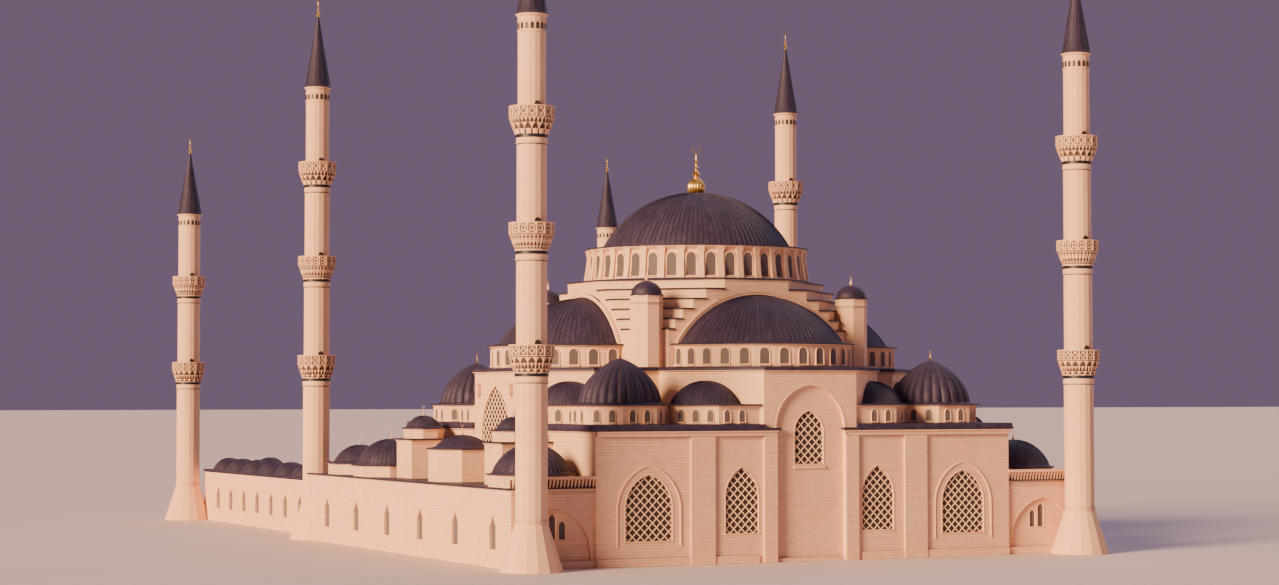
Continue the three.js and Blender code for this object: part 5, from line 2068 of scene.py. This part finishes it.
@dataclass
class Court(Group):
    """Courtyard walls, arcades, doors and small domes.

    Attributes:
        out: How far the outer walls stand from the middle.
        start: Place of the wall that it shares with the entrance gallery.
        end: Place of its back wall.
        depth: Depth of the arcade.
        reveal: How far the roof reaches into the court over the arches.
        top: Height of the roof.
        bays: Bays on each side.
        gates: Half width, spring, apex and place of the two doors.
        arch_shape: Half width, sill, spring and apex of the arcade's arches.
        pier: Distance of a pier from its arch's middle.
        pier_half: Half of a pier's width.
        dome: Radius and rise of the small domes.
        first_window: Place of the first window of the side walls.
        window_step: Distance of these windows.
        window_count: Their number on each side.
    """

    out: float = 49.5
    start: float = 60.4
    end: float = 149.5
    depth: float = 9.0
    top: float = 11.5
    bays: int = 7
    reveal: float = 1.2
    gates: tuple[tuple[float, ...], ...] = ((2.6, 5.5, 8.5, 149.5), (2.4, 6.5, 8.8, 60.4))
    arch_shape: tuple[float, ...] = (3.1, 0.0, 5.8, 8.8)
    pier: float = 3.5
    pier_half: float = 0.62
    dome: tuple[float, float] = (3.66, 2.66)
    first_window: float = 71.4
    window_step: float = 9.6
    window_count: int = 8

    def arches(self) -> Array:
        """Places of the arcade's arches, facing the courtyard.

        Returns:
            Rows of x, y and turn.
        """
        inner, back = self.out - self.depth, self.end - self.depth
        run = (np.arange(self.bays) + 0.5) / self.bays
        y = self.start + (back - self.start) * run
        x = -inner + 2 * inner * run
        left = np.column_stack([0 * y - inner, y, 0 * y + math.pi / 2])
        right = np.column_stack([0 * y + inner, y, 0 * y - math.pi / 2])
        behind = np.column_stack([x, 0 * x + back, 0 * x])
        return np.concatenate([left, right, behind])

    def domes(self) -> Body:
        """Small lead domes over the arcade's bays.

        Returns:
            The domes as one body.
        """
        middle, back = self.out - self.depth / 2, self.end - self.depth / 2
        k = np.arange(self.bays)
        run = self.start + (self.end - self.depth - self.start) * (k + 1.5) / self.bays
        y = np.where(k < self.bays - 1, run, back)
        reach = middle - self.depth - 0.6
        x = -reach + 2 * reach * k / (self.bays - 1)
        spots = [(s * middle, v) for s in SIDES for v in y] + [(v, back) for v in x]
        return gathered(Dome(at, self.top - 0.01, *self.dome, 32, roll=0.05, rows=5).body() for at in spots)

    def edge(self) -> Body:
        """The roof's lead edge, round the outside and round the court.

        Returns:
            The edge.
        """
        x, inner = self.out, self.out - self.depth - self.reveal
        back = self.end - self.depth - self.reveal
        outside = outline((x, self.start), (x, self.end), (-x, self.end), (-x, self.start))
        inside = outline((-inner, self.start), (-inner, back), (inner, back), (inner, self.start))
        return gathered(ledge(path, self.top + 0.05, False, 0.3, 0.3) for path in (outside, inside))

    def doors(self) -> Body:
        """The timber doors with a raised frame on each.

        Returns:
            The doors.
        """
        leaves, studs = [], []
        for half, spring, apex, y in self.gates:
            at = np.array([[0.0, y, math.pi]])
            frame = arch(half - 0.35, 0.5, spring - 0.2, apex - 0.6)
            leaves.append(upright(slab(arch(half, 0.05, spring, apex), -0.75, -0.55)).scattered(at))
            studs.append(rim(frame, oblong(-0.08, 0.08, -0.58, -0.48)).scattered(at))
        return gathered(leaves + studs)

    def build(self) -> None:
        """Adds every piece of the courtyard."""
        self.dresser.add("court_domes", self.domes(), "lead_32")
        self.dresser.add("court_lead_edges", self.edge(), "lead_0")
        places = self.arches()
        parts = [rim(arch(*self.arch_shape), oblong(-0.02, 0.3, -0.4, 0.08)).scattered(places)]
        near, far = self.pier - self.pier_half, self.pier + self.pier_half
        for low, high in ((5.3, 5.8), (0.02, 0.7)):
            feet = gathered(block(*x, -1.05, 0.15, low, high) for x in ((-far, -near), (near, far)))
            parts.append(feet.scattered(places))
        self.dresser.add("arcade_mouldings", parts, "carved")
        rows = side_rows(self.out, self.first_window + self.window_step * np.arange(self.window_count))
        Window(1.3, 3.0, 6.0, 7.8, **PLAIN_LATTICE).fill(self.dresser, "court_window", rows)
        self.dresser.add("court_doors", self.doors(), "timber")


# Setting.


class Studio:
    """Camera, lights and floor."""

    def camera(self) -> None:
        """The photograph's viewpoint."""
        data = bpy.data.cameras.new("camera")
        data.lens, data.sensor_width, data.clip_end = 70.99, 36.0, 1000.0
        eye = linked("camera", data)
        eye.location = (-21.448, -46.710, 2.744)
        eye.rotation_euler = (math.pi / 2 + 0.0422, 0.0009, -0.455)
        bpy.context.scene.camera = eye

    def sun(self, name: str, energy: float, spread: float, colour: tuple[float, float, float],
            fall: tuple[float, float]) -> None:
        """Adds one sun.

        Args:
            name: The light's name.
            energy: Its strength.
            spread: Its angle, for soft shadows.
            colour: Its colour.
            fall: How far it leans from straight down and which way it is turned, in degrees.
        """
        data = bpy.data.lights.new(name, "SUN")
        data.energy, data.angle, data.color = energy, spread, colour
        linked(name, data).rotation_euler = (math.radians(fall[0]), 0.0, math.radians(fall[1]))

    def lights(self) -> None:
        """A warm low key from the left, a weak cool fill from behind right and a pale lilac surround."""
        self.sun("key", 10.0, 0.35, (1.0, 0.63, 0.34), (73, -72))
        self.sun("fill", 1.1, 1.2, (0.86, 0.80, 1.0), (52, 118))
        world = bpy.data.worlds.new("surround")
        world.use_nodes = True
        back = world.node_tree.nodes["Background"]
        back.inputs[0].default_value = (0.69, 0.45, 0.74, 1.0)
        back.inputs[1].default_value = 0.24
        bpy.context.scene.world = world

    def floor(self) -> None:
        """A wide pale floor, just under the model."""
        made = clouded_finish("pale_floor", 0.02, FLOOR, 0.9, 0.0)
        mesh = bpy.data.meshes.new("floor")
        size, depth = 600.0, -0.002
        corners = [(x, y, depth) for x, y in oblong(-size, size, -size, size)]
        mesh.from_pydata(corners, [], [(0, 1, 2, 3)])
        mesh.materials.append(made.material)
        plane = linked("floor", mesh)

    def build(self) -> None:
        """Sets the whole studio."""
        self.camera()
        self.lights()
        self.floor()


def dress_nodes(dresser: Dresser) -> None:
    """Gives every CAD node that still shows its finish.

    Args:
        dresser: What gives the finishes.
    """
    starts = {
        "corner_tier": "terrace", "upper_roof": "lead_0", "court_roof": "lead_0", "spire": "lead_0",
        "main_dome": "lead_0", "semi_dome": "lead_0", "corner_dome": "lead_0", "hall_floor": "paving",
        "minaret": "smooth_stone", "turret": "smooth_stone", "main_finial": "gilt",
    }
    for name in dresser.nodes:
        finish = next((value for start, value in starts.items() if name.startswith(start)), "stone")
        dresser.dress_node(name, finish)


def main(frame: dict) -> None:
    """Builds the scene.
    """
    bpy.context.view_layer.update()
    dresser = Dresser(frame)
    Studio().build()
    dress_nodes(dresser)
    for row, y, levels, spire_base in MINARET_ROWS:
        for side, x in (("left", -MINARET_X), ("right", MINARET_X)):
            Minaret(dresser, f"{row}_{side}", x, y, levels, spire_base).build()
    for group in (Crown, Corners, Walls, Galleries, Court):
        group(dresser).build()
        log.info("%s done", group.__name__)


if __name__ == "__main__":
    logging.basicConfig(level=logging.INFO)
    main(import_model())
